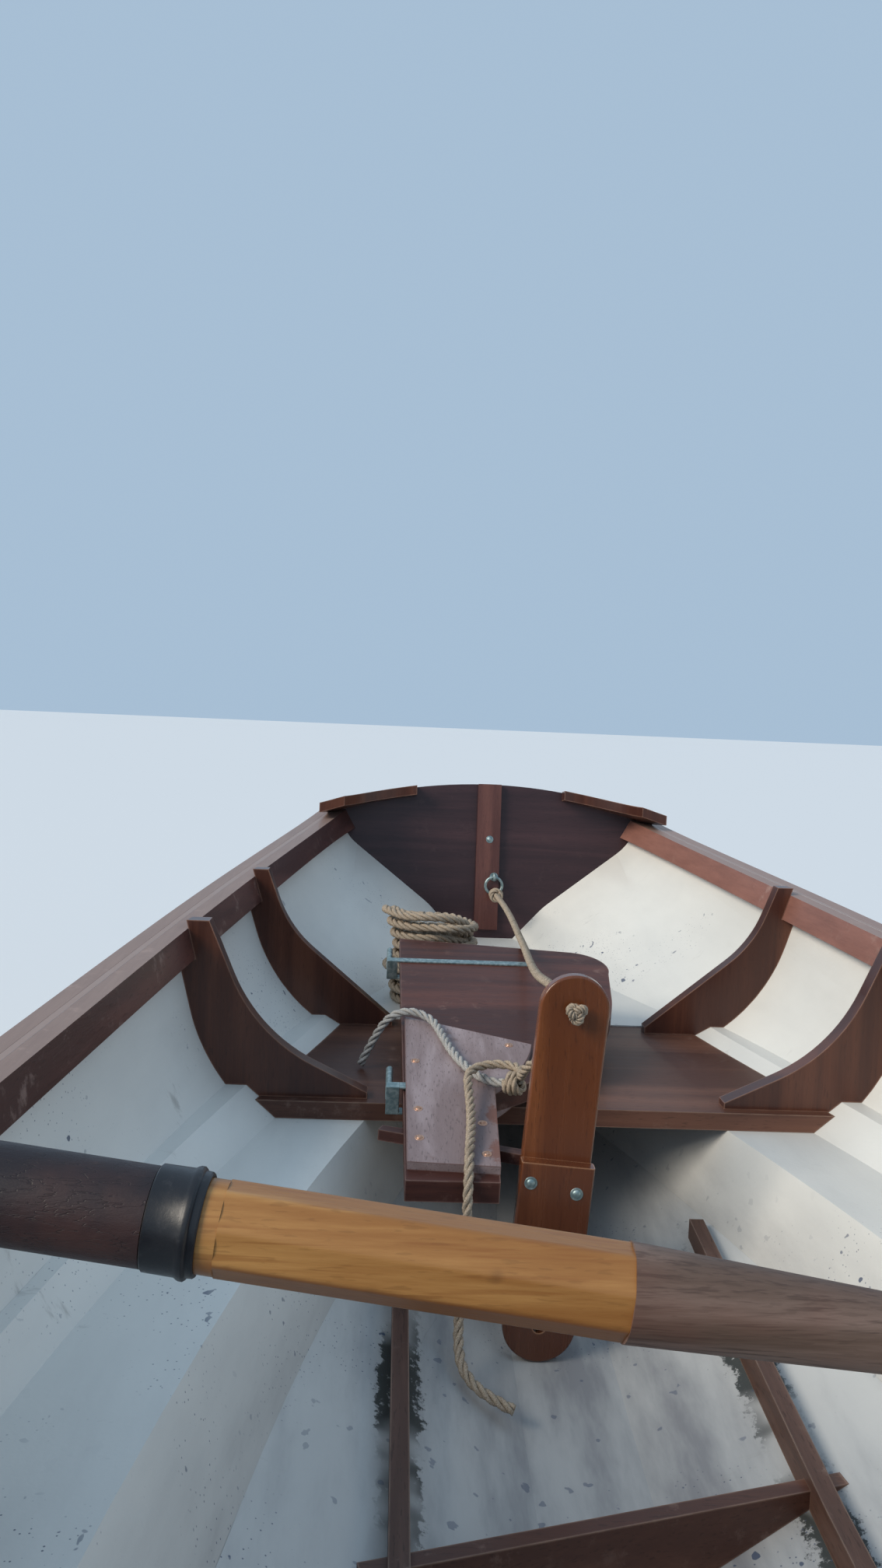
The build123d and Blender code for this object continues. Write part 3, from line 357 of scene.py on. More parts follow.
def gel_coat():
    """Cream moulding: orange peel, grey dirt and painted shade low down, smudges, chips and dark growth by the rails.
    """
    paint = Paint("gel_coat", Specular_IOR_Level=0.4)
    x, y, z = paint.axes()
    here = paint.place()
    cloud = paint.noise(here, 2.2, 4.0)
    smear = paint.noise(paint.place(stretch=(1.2, 5.0, 5.0)), 3.0, 5.0, 0.6)
    base = paint.mix(cloud.over(0.35, 0.7), (0.72, 0.715, 0.68), (0.81, 0.80, 0.755))
    # grey dirt in smears, more of it low down, and painted shade: all of the moulding is darkened towards grey low
    # down
    low = z.over(0.20, -0.06)
    dirt_and_painted_shade = (smear.over(0.36, 0.80) * (low * 0.45 + 0.10) + low * 0.58).held()
    base = paint.mix(dirt_and_painted_shade, base, (0.265, 0.265, 0.275))
    # long soft smudges that shoes and oars leave on the sides
    overlay_mask = paint.noise(paint.place(turn=(0.5, 0, 0.3), stretch=(3.0, 1.0, 1.3)), 6.5, 5.0, 0.72)
    overlay_mask = overlay_mask.over(0.62, 0.74) * paint.noise(here, 2.7, 2.0).over(0.46, 0.6) * 0.5
    base = paint.mix(overlay_mask, base, (0.30, 0.285, 0.26))
    # black growth that hugs the aftermost stretch of the stretcher rails
    aside = abs(abs(y) - RAIL_Y) - RAIL_HALF
    fine = paint.noise(here, 75.0, 6.0, 0.75)
    hug = aside.over(0.030, 0.0) * z.over(0.06, 0.02) * x.over(-0.9, -1.2)
    growth = (fine + hug * 0.38).over(0.70, 0.79) * hug.over(0.0, 0.25)
    growth = growth * paint.noise(here, 7.0, 3.0).over(0.34, 0.52)
    base = paint.mix(growth * 0.92, base, (0.022, 0.026, 0.022))
    rare = paint.noise(here, 3.4, 3.0).over(0.50, 0.62)
    specks = paint.specks(here, 150.0, 0.16) * rare
    base = paint.mix(specks * 0.8, base, (0.07, 0.085, 0.14))
    chips = paint.noise(here, 64.0, 2.0, 0.4).over(0.705, 0.73) * rare.most(low * 0.6)
    base = paint.mix(chips * 0.85, base, (0.05, 0.075, 0.14))
    # the moulding's upper edge lies in the gunwale and is coloured with it: pale weathered wood, with painted light on
    # the faces that look up
    edge = paint.facing_up() * z.over(0.34, 0.37)
    base = paint.mix(edge, base, TOP_WEATHER_AND_PAINTED_LIGHT)
    peel = paint.noise(here, 170.0, 2.0)
    flat = paint.noise(here, 9.0, 3.0)
    rough = dirt_and_painted_shade * 0.3 + flat * 0.2 + 0.26
    normal = paint.bump(peel, 0.0005, 0.5)
    normal = paint.bump(flat, 0.004, 0.35, under=normal)
    return paint.feed(Base_Color=base, Roughness=rough, Normal=normal)


# The axis that a board's grain follows
ALONG, ACROSS, UPRIGHT = range(3)
# How much a board's figure and its open pores are drawn out along the grain
FIGURE_STRETCH = 0.055
PORE_STRETCH = 0.12


def grain(paint, dark, light, along, ring, pores=1.0):
    """A wood's colour, its fine figure and its open pores; along is the grain's axis."""
    squeeze = [1.0, 1.0, 1.0]
    squeeze[along] = FIGURE_STRETCH
    lengthwise = paint.place(stretch=tuple(squeeze))
    broad = paint.noise(lengthwise, ring, 3.0, 0.55, 0.35)
    fine = paint.noise(lengthwise, ring * 13, 4.0, 0.65)
    squeeze[along] = PORE_STRETCH
    dashes = paint.noise(paint.place(stretch=tuple(squeeze)), 420.0, 2.0, 0.5)
    bands = (broad * 11.0).maths("SINE") * 0.5 + 0.5
    tone = bands * 0.42 + fine * 0.38 + paint.noise(paint.place(), 3.0, 2.0) * 0.3
    base = paint.mix(tone.over(0.25, 0.85), dark, light)
    base = paint.mix(dashes.over(0.60, 0.68) * 0.5 * pores, base, tuple(c * 0.4 for c in dark))
    return base, fine, dashes


def relief(fine, dashes):
    """The height of a wood's figure and pores."""
    return fine * 0.6 + dashes * 0.4


def worn_spots(paint):
    """Small rubbed marks that come in patches."""
    marks = paint.noise(paint.place(), 26.0, 6.0, 0.7).over(0.56, 0.70)
    patches = paint.noise(paint.place(), 4.0, 2.0).over(0.35, 0.62)
    return marks * patches


def wood(name, dark, light, along, gloss, ring, pores, wear=None, wear_amount=0.0, edge_wear_and_highlight=None, coat=0.3):
    """Varnished or bare wood, worn in spots, and, where an edge colour is given, pale along its edges from wear and
    painted highlight.
    """
    paint = Paint(name, Coat_Weight=coat, Coat_Roughness=0.14, Specular_IOR_Level=0.35)
    base, fine, dashes = grain(paint, dark, light, along, ring, pores)
    rough = fine * 0.16 + gloss
    if wear is not None:
        worn = worn_spots(paint) * wear_amount
        base = paint.mix(worn, base, wear)
        rough = rough + worn * 0.5
    if edge_wear_and_highlight is not None:
        # painted highlight where the edges catch the light, and worn varnish: the edge colour along sharp edges
        uneven = paint.noise(paint.place(), 30.0, 4.0).over(0.3, 0.6) * 0.4 + 0.45
        overlay_mask = paint.edges(WEAR_AND_HIGHLIGHT_REACH) * uneven
        base = paint.mix(overlay_mask, base, edge_wear_and_highlight)
        rough = rough + overlay_mask * 0.2
    normal = paint.bump(relief(fine, dashes), 0.0007, 0.35)
    return paint.feed(Base_Color=base, Roughness=rough, Normal=normal)


def gunwale_wood():
    """Dark varnish inside; pink-grey on top and on the port side, from weathering and from painted light."""
    paint = Paint("gunwale_mahogany", Coat_Weight=0.2, Coat_Roughness=0.16, Specular_IOR_Level=0.35)
    base, fine, dashes = grain(paint, (0.060, 0.022, 0.018), (0.135, 0.052, 0.040), ALONG, 14.0)
    y = paint.axes()[1]
    streaks = paint.noise(paint.place(stretch=(0.12, 1.0, 1.0)), 60.0, 5.0, 0.7)
    # the port side: painted sunlight lightens the whole side, more so in weathered streaks
    port = y.over(0.0, 0.1) * (streaks * 0.8 + 0.25).held()
    base = paint.mix(port, base, (0.36, 0.165, 0.125))
    # pale tops: weathered wood, and painted light on the faces that look up
    bare = paint.facing_up() * (streaks * 0.5 + 0.55).held()
    base = paint.mix(bare, base, TOP_WEATHER_AND_PAINTED_LIGHT)
    scars = worn_spots(paint) * 0.5
    base = paint.mix(scars, base, (0.44, 0.30, 0.25))
    rough = fine * 0.16 + 0.32 + bare * 0.2
    normal = paint.bump(relief(fine, dashes), 0.0008, 0.4)
    return paint.feed(Base_Color=base, Roughness=rough, Normal=normal)


# Bare patches by the cheek's inner edge: their places, and their half length and half width
WORN_PATCHES = ((-2.246, -0.086), (-2.163, -0.088))
PATCH_LONG = 0.026
PATCH_WIDE = 0.0095


def cheek_wood():
    """Grey, lifeless varnish, worn to red wood in two patches and along its rims."""
    paint = Paint("weathered_cheeks", Specular_IOR_Level=0.3)
    base, fine, dashes = grain(paint, (0.235, 0.175, 0.175), (0.385, 0.31, 0.32), ALONG, 20.0)
    dirt = worn_spots(paint) * 0.6
    base = paint.mix(dirt, base, (0.17, 0.10, 0.085))
    x, y = paint.axes()[:2]
    ragged = paint.noise(paint.place(), 85.0, 6.0, 0.75) * 4.4 - 2.2
    for along, across in WORN_PATCHES:
        off = ((x - along) / PATCH_LONG) ** 2.0 + ((y - across) / PATCH_WIDE) ** 2.0
        base = paint.mix((off + ragged).over(1.1, 0.3) * 0.75, base, (0.19, 0.075, 0.050))
    base = paint.mix(paint.edges(0.003) * 0.6, base, (0.15, 0.065, 0.048))
    normal = paint.bump(relief(fine, dashes), 0.0009, 0.45)
    return paint.feed(Base_Color=base, Roughness=fine * 0.2 + 0.5, Normal=normal)


def yoke_wood():
    """Orange-brown varnish with painted shade towards the foot, and pale edges of wear and painted highlight."""
    paint = Paint("varnished_yoke", Coat_Weight=0.35, Coat_Roughness=0.12, Specular_IOR_Level=0.4)
    base, fine, dashes = grain(paint, (0.13, 0.036, 0.011), (0.29, 0.092, 0.027), UPRIGHT, 12.0)
    z = paint.axes()[2]
    # painted shade: the yoke darkens towards its foot
    base = paint.mix(z.over(0.26, 0.12) * 0.62, base, (0.060, 0.022, 0.014))
    # pale edges: worn varnish and painted highlight
    overlay_mask = paint.edges(WEAR_AND_HIGHLIGHT_REACH) * 0.7
    base = paint.mix(overlay_mask, base, (0.50, 0.27, 0.15))
    normal = paint.bump(relief(fine, dashes), 0.0006, 0.3)
    return paint.feed(Base_Color=base, Roughness=fine * 0.14 + 0.19, Normal=normal)


def pine():
    """Golden varnished pine with brown knots, bruises, and painted shade that makes the flat below darker and redder.
    """
    paint = Paint("varnished_pine", Coat_Weight=0.12, Coat_Roughness=0.28, Specular_IOR_Level=0.35)
    base, fine, dashes = grain(paint, (0.32, 0.135, 0.036), (0.57, 0.30, 0.100), ACROSS, 22.0, 0.45)
    here = paint.place()
    lines = paint.noise(paint.place(stretch=(1.0, 0.02, 1.0)), 210.0, 2.0, 0.5).over(0.56, 0.66)
    base = paint.mix(lines * 0.4, base, (0.25, 0.085, 0.020))
    # painted shade: faces that look down are darker and redder
    base = paint.mix(paint.lean(-0.12, -0.5) * 0.75, base, (0.30, 0.105, 0.024))
    bruise = paint.specks(paint.place(stretch=(1.0, 0.6, 1.0)), 30.0, 0.21)
    bruise = bruise * paint.noise(here, 9.0, 2.0).over(0.40, 0.50)
    base = paint.mix(bruise * 0.65, base, (0.10, 0.045, 0.020))
    normal = paint.bump(relief(fine, dashes) - bruise * 0.8, 0.0007, 0.35)
    return paint.feed(Base_Color=base, Roughness=fine * 0.14 + 0.31, Normal=normal)


def grip_wood():
    """Bare, hand-worn wood: close dark lines, grey where dry and redder where held."""
    paint = Paint("hand_worn_grip", Specular_IOR_Level=0.3)
    base, fine, dashes = grain(paint, (0.125, 0.080, 0.060), (0.27, 0.185, 0.150), ACROSS, 26.0, 0.5)
    lines = paint.noise(paint.place(stretch=(1.0, 0.03, 1.0)), 330.0, 3.0, 0.6)
    base = paint.mix(lines.over(0.50, 0.66) * 0.6, base, (0.062, 0.038, 0.030))
    held = paint.noise(paint.place(stretch=(1.0, 0.5, 1.0)), 9.0, 3.0).over(0.46, 0.66) * 0.5
    base = paint.mix(held, base, (0.20, 0.070, 0.048))
    normal = paint.bump(lines * 0.7 + dashes * 0.3, 0.0009, 0.5)
    return paint.feed(Base_Color=base, Roughness=fine * 0.2 + 0.46, Normal=normal)


def black_collar():
    """Dull black plastic, scuffed grey."""
    paint = Paint("collar_plastic", Specular_IOR_Level=0.5)
    here = paint.place()
    scuff = paint.noise(here, 90.0, 5.0, 0.7)
    base = paint.mix(scuff.over(0.55, 0.8), (0.009, 0.010, 0.014), (0.045, 0.045, 0.052))
    normal = paint.bump(scuff, 0.0005, 0.4)
    return paint.feed(Base_Color=base, Roughness=scuff * 0.3 + 0.22, Normal=normal)


def oar_leather():
    """Greased leather, brown-black with redder patches and fine cracks."""
    paint = Paint("greased_leather", Specular_IOR_Level=0.4)
    here = paint.place()
    patch = paint.noise(here, 7.0, 4.0, 0.6)
    fine = paint.noise(paint.place(stretch=(1.6, 0.5, 1.6)), 160.0, 5.0, 0.7)
    base = paint.mix(patch.over(0.40, 0.68), (0.018, 0.013, 0.017), (0.066, 0.030, 0.026))
    base = paint.mix(fine.over(0.58, 0.76) * 0.28, base, (0.12, 0.075, 0.062))
    cracks = paint.noise(paint.place(stretch=(1.0, 0.22, 1.0)), 120.0, 3.0, 0.6)
    cracks = abs(cracks - 0.5).over(0.016, 0.0)
    base = paint.mix(cracks * 0.45, base, (0.010, 0.007, 0.008))
    normal = paint.bump(fine - cracks * 0.4, 0.0009, 0.5)
    return paint.feed(Base_Color=base, Roughness=fine * 0.3 + 0.34, Normal=normal)


def rope_fibre(name, dark, light):
    """Worn three-strand rope with frayed, sooty patches."""
    paint = Paint(name, Specular_IOR_Level=0.25)
    here = paint.place()
    fray = paint.noise(here, 900.0, 3.0, 0.7)
    patch = paint.noise(here, 24.0, 4.0, 0.6)
    base = paint.mix(fray.over(0.30, 0.72), dark, light)
    base = paint.mix(patch.over(0.52, 0.75) * 0.45, base, tuple(c * 0.45 for c in dark))
    normal = paint.bump(fray, 0.0006, 0.8)
    return paint.feed(Base_Color=base, Roughness=fray * 0.2 + 0.72, Normal=normal)


def galvanised():
    """Zinc-coated steel, spangled, with a few rust spots."""
    paint = Paint("galvanised_steel", Metallic=0.75)
    here = paint.place()
    spangle = paint.noise(here, 150.0, 3.0)
    base = paint.mix(spangle.over(0.35, 0.7), (0.22, 0.31, 0.32), (0.44, 0.53, 0.53))
    rust = paint.noise(here, 38.0, 4.0, 0.7).over(0.66, 0.76)
    base = paint.mix(rust * 0.6, base, (0.25, 0.12, 0.06))
    normal = paint.bump(spangle, 0.0004, 0.4)
    return paint.feed(Base_Color=base, Roughness=spangle * 0.3 + 0.3, Normal=normal)


def copper():
    """Rivet heads, dulled in places."""
    paint = Paint("copper_rivets", Metallic=0.85)
    tarnish = paint.noise(paint.place(), 320.0, 3.0)
    base = paint.mix(tarnish.over(0.35, 0.65), (0.52, 0.27, 0.17), (0.72, 0.46, 0.34))
    return paint.feed(Base_Color=base, Roughness=tarnish * 0.25 + 0.3)


MATERIALS = {
    "moulding": gel_coat(),
    "transom_wood": wood(
        "dark_transom",
        dark=(0.034, 0.016, 0.019),
        light=(0.068, 0.031, 0.034),
        along=ACROSS,
        gloss=0.30,
        ring=12.0,
        pores=0.5,
        wear=(0.12, 0.07, 0.07),
        wear_amount=0.2,
        coat=0.2,
    ),
    "doubler_wood": wood(
        "red_doubler",
        dark=(0.085, 0.028, 0.022),
        light=(0.16, 0.060, 0.045),
        along=UPRIGHT,
        gloss=0.30,
        ring=14.0,
        pores=0.6,
    ),
    "mahogany": gunwale_wood(),
    "knee_varnish": wood(
        "varnished_knees",
        dark=(0.052, 0.016, 0.010),
        light=(0.125, 0.042, 0.022),
        along=UPRIGHT,
        gloss=0.26,
        ring=10.0,
        pores=0.6,
        edge_wear_and_highlight=(0.36, 0.20, 0.14),
    ),
    "seat_wood": wood(
        "seat_boards",
        dark=(0.075, 0.030, 0.020),
        light=(0.17, 0.075, 0.048),
        along=ACROSS,
        gloss=0.40,
        ring=12.0,
        pores=0.8,
        wear=(0.30, 0.20, 0.16),
        wear_amount=0.35,
        edge_wear_and_highlight=(0.30, 0.19, 0.14),
        coat=0.08,
    ),
    "rail_wood": wood(
        "rail_battens",
        dark=(0.070, 0.034, 0.024),
        light=(0.15, 0.080, 0.058),
        along=ALONG,
        gloss=0.44,
        ring=14.0,
        pores=1.0,
        wear=(0.34, 0.25, 0.21),
        wear_amount=0.45,
        edge_wear_and_highlight=(0.26, 0.18, 0.14),
        coat=0.0,
    ),
    "galvanised": galvanised(),
    "grip_wood": grip_wood(),
    "oar_pine": pine(),
    "collar_black": black_collar(),
    "oar_leather": oar_leather(),
    "rudder_wood": wood(
        "rudder_boards",
        dark=(0.052, 0.017, 0.013),
        light=(0.130, 0.043, 0.029),
        along=ACROSS,
        gloss=0.42,
        ring=12.0,
        pores=0.8,
        wear=(0.30, 0.19, 0.165),
        wear_amount=0.5,
        edge_wear_and_highlight=(0.24, 0.15, 0.125),
        coat=0.06,
    ),
    "cheek_wood": cheek_wood(),
    "yoke_wood": yoke_wood(),
    "tan_rope": rope_fibre("tan_rope", (0.23, 0.175, 0.125), (0.60, 0.50, 0.39)),
    "blue_rope": rope_fibre("blue_rope", (0.27, 0.265, 0.255), (0.60, 0.585, 0.56)),
}
COPPER = copper()
SLOT_OF = {row["node"]: row["material_slot"] for row in frame["record"]["subparts"]}
for node, obj in NODES.items():
    obj.data.materials.clear()
    obj.data.materials.append(MATERIALS[SLOT_OF[node]])


def shape_of(shape, name, material, body=BOAT):
    """Turns a bmesh into a piece that rides on a body."""
    mesh = bpy.data.meshes.new(name)
    bmesh.ops.recalc_face_normals(shape, faces=shape.faces)
    shape.to_mesh(mesh)
    shape.free()
    mesh.materials.append(material)
    obj = bpy.data.objects.new(name, mesh)
    bpy.context.scene.collection.objects.link(obj)
    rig.ride(obj, body)
    return obj


# Lines: their corners in metres. The rudder line lies a little higher than its solid, because its rope is
# thicker, and clears the cheek.
RUDDER_LINE = (
    (-2.5168, -0.2640, 0.1959), (-2.5160, -0.2450, 0.2380), (-2.5091, -0.2230, 0.2739),
    (-2.5041, -0.1900, 0.2841), (-2.4906, -0.1600, 0.2749), (-2.4555, -0.1490, 0.2669),
    (-2.4162, -0.1400, 0.2592), (-2.3789, -0.1280, 0.2519), (-2.3475, -0.1130, 0.2458),
    (-2.3239, -0.0960, 0.2413), (-2.3079, -0.0760, 0.2399), (-2.2944, -0.0560, 0.2454),
)
YOKE_LINE = (
    (-2.178, 0.022, 0.322), (-2.184, -0.030, 0.318), (-2.214, -0.053, 0.290), (-2.244, -0.053, 0.270),
    (-2.270, -0.049, 0.265), (-2.300, -0.048, 0.264), (-2.321, -0.0686, 0.263), (-2.321, -0.0976, 0.260),
    (-2.300, -0.118, 0.256), (-2.265, -0.117, 0.242), (-2.225, -0.116, 0.228), (-2.184, -0.1185, 0.218),
    (-2.145, -0.122, 0.209), (-2.114, -0.124, 0.190), (-2.103, -0.125, 0.155), (-2.102, -0.126, 0.112),
    (-2.100, -0.128, 0.070), (-2.094, -0.130, 0.034), (-2.076, -0.131, 0.010), (-2.045, -0.127, -0.003),
    (-2.017, -0.105, -0.013), (-2.005, -0.072, -0.022),
)
UPPER_LINE = (
    (-3.540, 0.018, 0.303), (-3.410, 0.020, 0.308), (-3.280, 0.020, 0.3125), (-3.150, 0.018, 0.3165),
    (-3.020, 0.014, 0.321), (-2.890, 0.009, 0.326), (-2.760, 0.004, 0.3325), (-2.630, -0.004, 0.341),
    (-2.500, -0.012, 0.353), (-2.380, -0.019, 0.369), (-2.280, -0.019, 0.384), (-2.205, -0.007, 0.3846),
    (-2.147, -0.0033, 0.3816),
)
KNOT_PLACE = (-2.1395, -0.003, 0.381)
# The ropes' diameters
LINE_SIZE = 0.013
MOORING_ROPE = 0.016
# The mooring rope's coil: its middle, the bench under it, from turn to turn, the points in a turn, and
# the angle of its first point
COIL_X = -2.940
COIL_Y = -0.134
BENCH_TOP = 0.1923
COIL_PITCH = 0.0165
COIL_STEPS = 12
COIL_START = 0.4
# How far each layer lies off the one below, aft and to starboard, and how much more it tilts
LAYER_AFT = 0.0016
LAYER_STARBOARD = 0.0026
LAYER_TILT = 0.0034
# How much wider or narrower a layer may be, and how far it may lie to one side
LAYER_SLACK = 0.006
LAYER_SWAY = 0.004
# The layers above these are loose: how oval each is, and how much it waves
TIGHT_LAYERS = 4
LAYER_OVAL = 0.035
LAYER_WAVE = 0.0014
COIL_LAYERS = (
    # turns, outer radius, 1 where it winds inwards
    (3, 0.0935, 1), (3, 0.0935, 0), (3, 0.0935, 1), (3, 0.0935, 0), (3, 0.0935, 1),
    (2, 0.0770, 0), (2, 0.0770, 1), (2, 0.0850, 0), (2, 0.0920, 1),
)


def coil_corners():
    """The mooring rope's turns, laid loosely on the stern bench, the upper ones askew."""
    corners = []
    angle = COIL_START
    for layer, (turns, outer, inwards) in enumerate(COIL_LAYERS):
        steps = turns * COIL_STEPS
        slack = LAYER_SLACK * sin(layer * 2.3 + 0.6)
        loose = max(layer - TIGHT_LAYERS, 0)
        for step in range(steps):
            share = (step if inwards else steps - step) / COIL_STEPS
            oval = 1 + LAYER_OVAL * loose * cos(2 * angle + 1.4 * layer)
            radius = (outer + slack - share * COIL_PITCH) * oval
            rise = min(step / 2, 1.0) - 1.0 if layer else 0.0
            tilt = LAYER_TILT * layer * (1 + sin(angle + 2.2)) / 2
            askew = tilt + LAYER_WAVE * loose * sin(3 * angle + 0.5)
            level = BENCH_TOP + MOORING_ROPE / 2 + (layer + rise) * COIL_PITCH + askew
            sway = LAYER_SWAY * sin(layer * 2.1)
            centre = Vector((COIL_X - LAYER_AFT * layer, COIL_Y - LAYER_STARBOARD * layer + sway, level))
            corners.append(centre + radius * Vector((cos(angle), sin(angle), 0)))
            angle += 2 * pi / COIL_STEPS
    return corners


def route(name, corners):
    """Points along the smooth line that a cord's corners control."""
    data = bpy.data.curves.new(name, "CURVE")
    data.dimensions = "3D"
    data.resolution_u = 8
    spline = data.splines.new("NURBS")
    spline.points.add(len(corners) - 1)
    for point, corner in zip(spline.points, corners):
        point.co = (*corner, 1.0)
    spline.order_u = 3
    spline.use_endpoint_u = True
    line = bpy.data.objects.new(name, data)
    mesh = bpy.data.meshes.new_from_object(line)
    points = [vertex.co.copy() for vertex in mesh.vertices]
    bpy.data.objects.remove(line)
    return points


def even(points, step):
    """Points a step apart along a line, and the line's length."""
    gone = [0.0]
    for a, b in zip(points, points[1:]):
        gone.append(gone[-1] + (b - a).length)
    count = round(gone[-1] / step)
    made = []
    i = 0
    for k in range(count + 1):
        here = gone[-1] * k / count
        while i < len(gone) - 2 and gone[i + 1] < here:
            i += 1
        made.append(points[i].lerp(points[i + 1], (here - gone[i]) / (gone[i + 1] - gone[i])))
    return made, gone[-1]


def frames_along(line):
    """For each point of a line, two directions square to it that don't spin."""
    side = None
    for i, point in enumerate(line):
        ahead = (line[min(i + 1, len(line) - 1)] - line[max(i - 1, 0)]).normalized()
        if side is None:
            side = ahead.orthogonal()
        side = (side - ahead * side.dot(ahead)).normalized()
        yield point, side, ahead.cross(side)


# A strand's section, in rope diameters: how far out it sits, and its half height and half width
STRAND_OUT = 0.255
STRAND_HIGH = 0.245
STRAND_WIDE = 0.262
STRAND_SIDES = 7
# The length that a strand needs for one turn, in rope diameters
LAY_LENGTH = 3.3


def laid_strands(shape, line, diameter, spin):
    """Three strands twisted round a line."""
    for strand in range(3):
        rings = []
        for i, (point, side, other) in enumerate(frames_along(line)):
            turn = i * spin + strand * 2 * pi / 3
            out = side * cos(turn) + other * sin(turn)
            across = other * cos(turn) - side * sin(turn)
            ring = []
            for k in range(STRAND_SIDES):
                bend = 2 * pi * k / STRAND_SIDES
                spot = out * (STRAND_OUT + STRAND_HIGH * cos(bend)) + across * (STRAND_WIDE * sin(bend))
                ring.append(shape.verts.new(point + spot * diameter))
            rings.append(ring)
        for a, b in zip(rings, rings[1:]):
            for k in range(STRAND_SIDES):
                after = (k + 1) % STRAND_SIDES
                face = shape.faces.new((a[k], a[after], b[after], b[k]))
                face.smooth = True
        for ring in (rings[0], rings[-1]):
            shape.faces.new(ring)


def make_rope(node, corners, diameter, far_end, lay, per_lay=10, with_pieces=()):
    """A laid rope on a CAD cord's route, in that node's place; per_lay is the rings in a strand's turn."""
    line, length = even(route(node + "_route", corners), LAY_LENGTH * diameter / per_lay)
    shape = bmesh.new()
    laid_strands(shape, line, diameter, 2 * pi / per_lay)
    rope = shape_of(shape, node + "_rope", MATERIALS[SLOT_OF[node]])
    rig.replaces(rope, node)
    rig.slot(rope, SLOT_OF[node])
    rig.cord(
        rope,
        exit=line[0],
        length=length,
        diameter=diameter,
        far_end=far_end,
        stiffness="limp",
        lay=lay,
        path=line,
        with_pieces=with_pieces,
    )


# The knot's points, its depth as a share of its size, and the points in one turn of its strands
KNOT_STEPS = 96
KNOT_DEPTH = 0.30
KNOT_LAY = 12


def make_knot(node, centre, size, diameter):
    """A three-lobed stopper knot, its lobes square to the boat's length."""
    line = []
    for i in range(KNOT_STEPS + 1):
        t = 2 * pi * i / KNOT_STEPS
        across = Vector((0, sin(t) + 2 * sin(2 * t), cos(t) - 2 * cos(2 * t))) / 3
        line.append(centre + across * size + Vector((-KNOT_DEPTH * size * sin(3 * t), 0, 0)))
    shape = bmesh.new()
    laid_strands(shape, line, diameter, 2 * pi / KNOT_LAY)
    knot = shape_of(shape, node + "_turns", MATERIALS[SLOT_OF[node]])
    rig.replaces(knot, node)
    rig.slot(knot, SLOT_OF[node])
    return knot


# A hitch's points in a turn, its pitch in rope diameters, and the points in one turn of its strands
HITCH_STEPS = 24
HITCH_PITCH = 1.02
HITCH_LAY = 14
# Its ends tuck in over a few points, to this share of its radius
TUCK_STEPS = 4
TUCKED = 0.55
# How far along the upper line's first stretch its hitch sits
HITCH_AT = 0.22


def make_hitch(name, centre, run, radius, turns, diameter):
    """Round turns of tan rope about a line, their ends tucked in."""
    run = run.normalized()
    side = run.orthogonal().normalized()
    other = run.cross(side)
    steps = round(turns * HITCH_STEPS)
    line = []
    for i in range(steps + 1):
        angle = 2 * pi * i / HITCH_STEPS
        along = (i / steps - 0.5) * (turns - 1) * diameter * HITCH_PITCH
        open_share = min(i, steps - i, TUCK_STEPS) / TUCK_STEPS
        out = radius * (TUCKED + (1 - TUCKED) * open_share)
        line.append(centre + run * along + (side * cos(angle) + other * sin(angle)) * out)
    shape = bmesh.new()
    laid_strands(shape, line, diameter, 2 * pi / HITCH_LAY)
    shape_of(shape, name, MATERIALS["tan_rope"])


make_rope("rudder_line", RUDDER_LINE, LINE_SIZE, "bare", "loose")
make_rope("yoke_line", YOKE_LINE, LINE_SIZE, "bare", "hanging")
knot = make_knot("stopper_knot", Vector(KNOT_PLACE), size=0.0095, diameter=0.0105)
ring_end, ring_next = Vector(UPPER_LINE[0]), Vector(UPPER_LINE[1])
ring_run = ring_next - ring_end
ring_hitch = ring_end + ring_run * HITCH_AT
make_hitch("ring_hitch", ring_hitch, ring_run, radius=0.0115, turns=3, diameter=0.0115)
line_end, line_before = Vector(RUDDER_LINE[-1]), Vector(RUDDER_LINE[-2])
make_hitch("line_hitch", line_end, line_end - line_before, radius=0.0110, turns=2.6, diameter=0.0110)
make_rope("upper_yoke_line", UPPER_LINE, LINE_SIZE, "knot", "taut", with_pieces=[knot])
make_rope("mooring_coil", coil_corners(), MOORING_ROPE, "bare", "coiled", per_lay=9)


LATHE_STEPS = 72
# Two faces that turn by more than this, in radians, meet at a sharp edge
SHARP = 0.6


def lathe(name, material, body, foot, run, outline):
    """A ring turned about run through foot; the outline's rows are how far along and how far out."""
    side = run.orthogonal().normalized()
    shape = bmesh.new()
    corners = [shape.verts.new(foot + run * along + side * out) for along, out in outline]
    sides = [shape.edges.new(pair) for pair in zip(corners, corners[1:] + corners[:1])]
    bmesh.ops.spin(
        shape,
        geom=corners + sides,
        cent=foot,
        axis=run,
        dvec=(0, 0, 0),
        angle=2 * pi,
        steps=LATHE_STEPS,
        use_merge=True,
        use_duplicate=False,
    )
    bmesh.ops.remove_doubles(shape, verts=shape.verts[:], dist=1e-6)
    for face in shape.faces:
        face.smooth = True
    for edge in shape.edges:
        if edge.is_manifold and edge.calc_face_angle() > SHARP:
            edge.smooth = False
    return shape_of(shape, name, material, body)


def middle_of(node):
    """The middle of a node's box."""
    low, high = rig.box(node)
    return (Vector(low) + Vector(high)) / 2


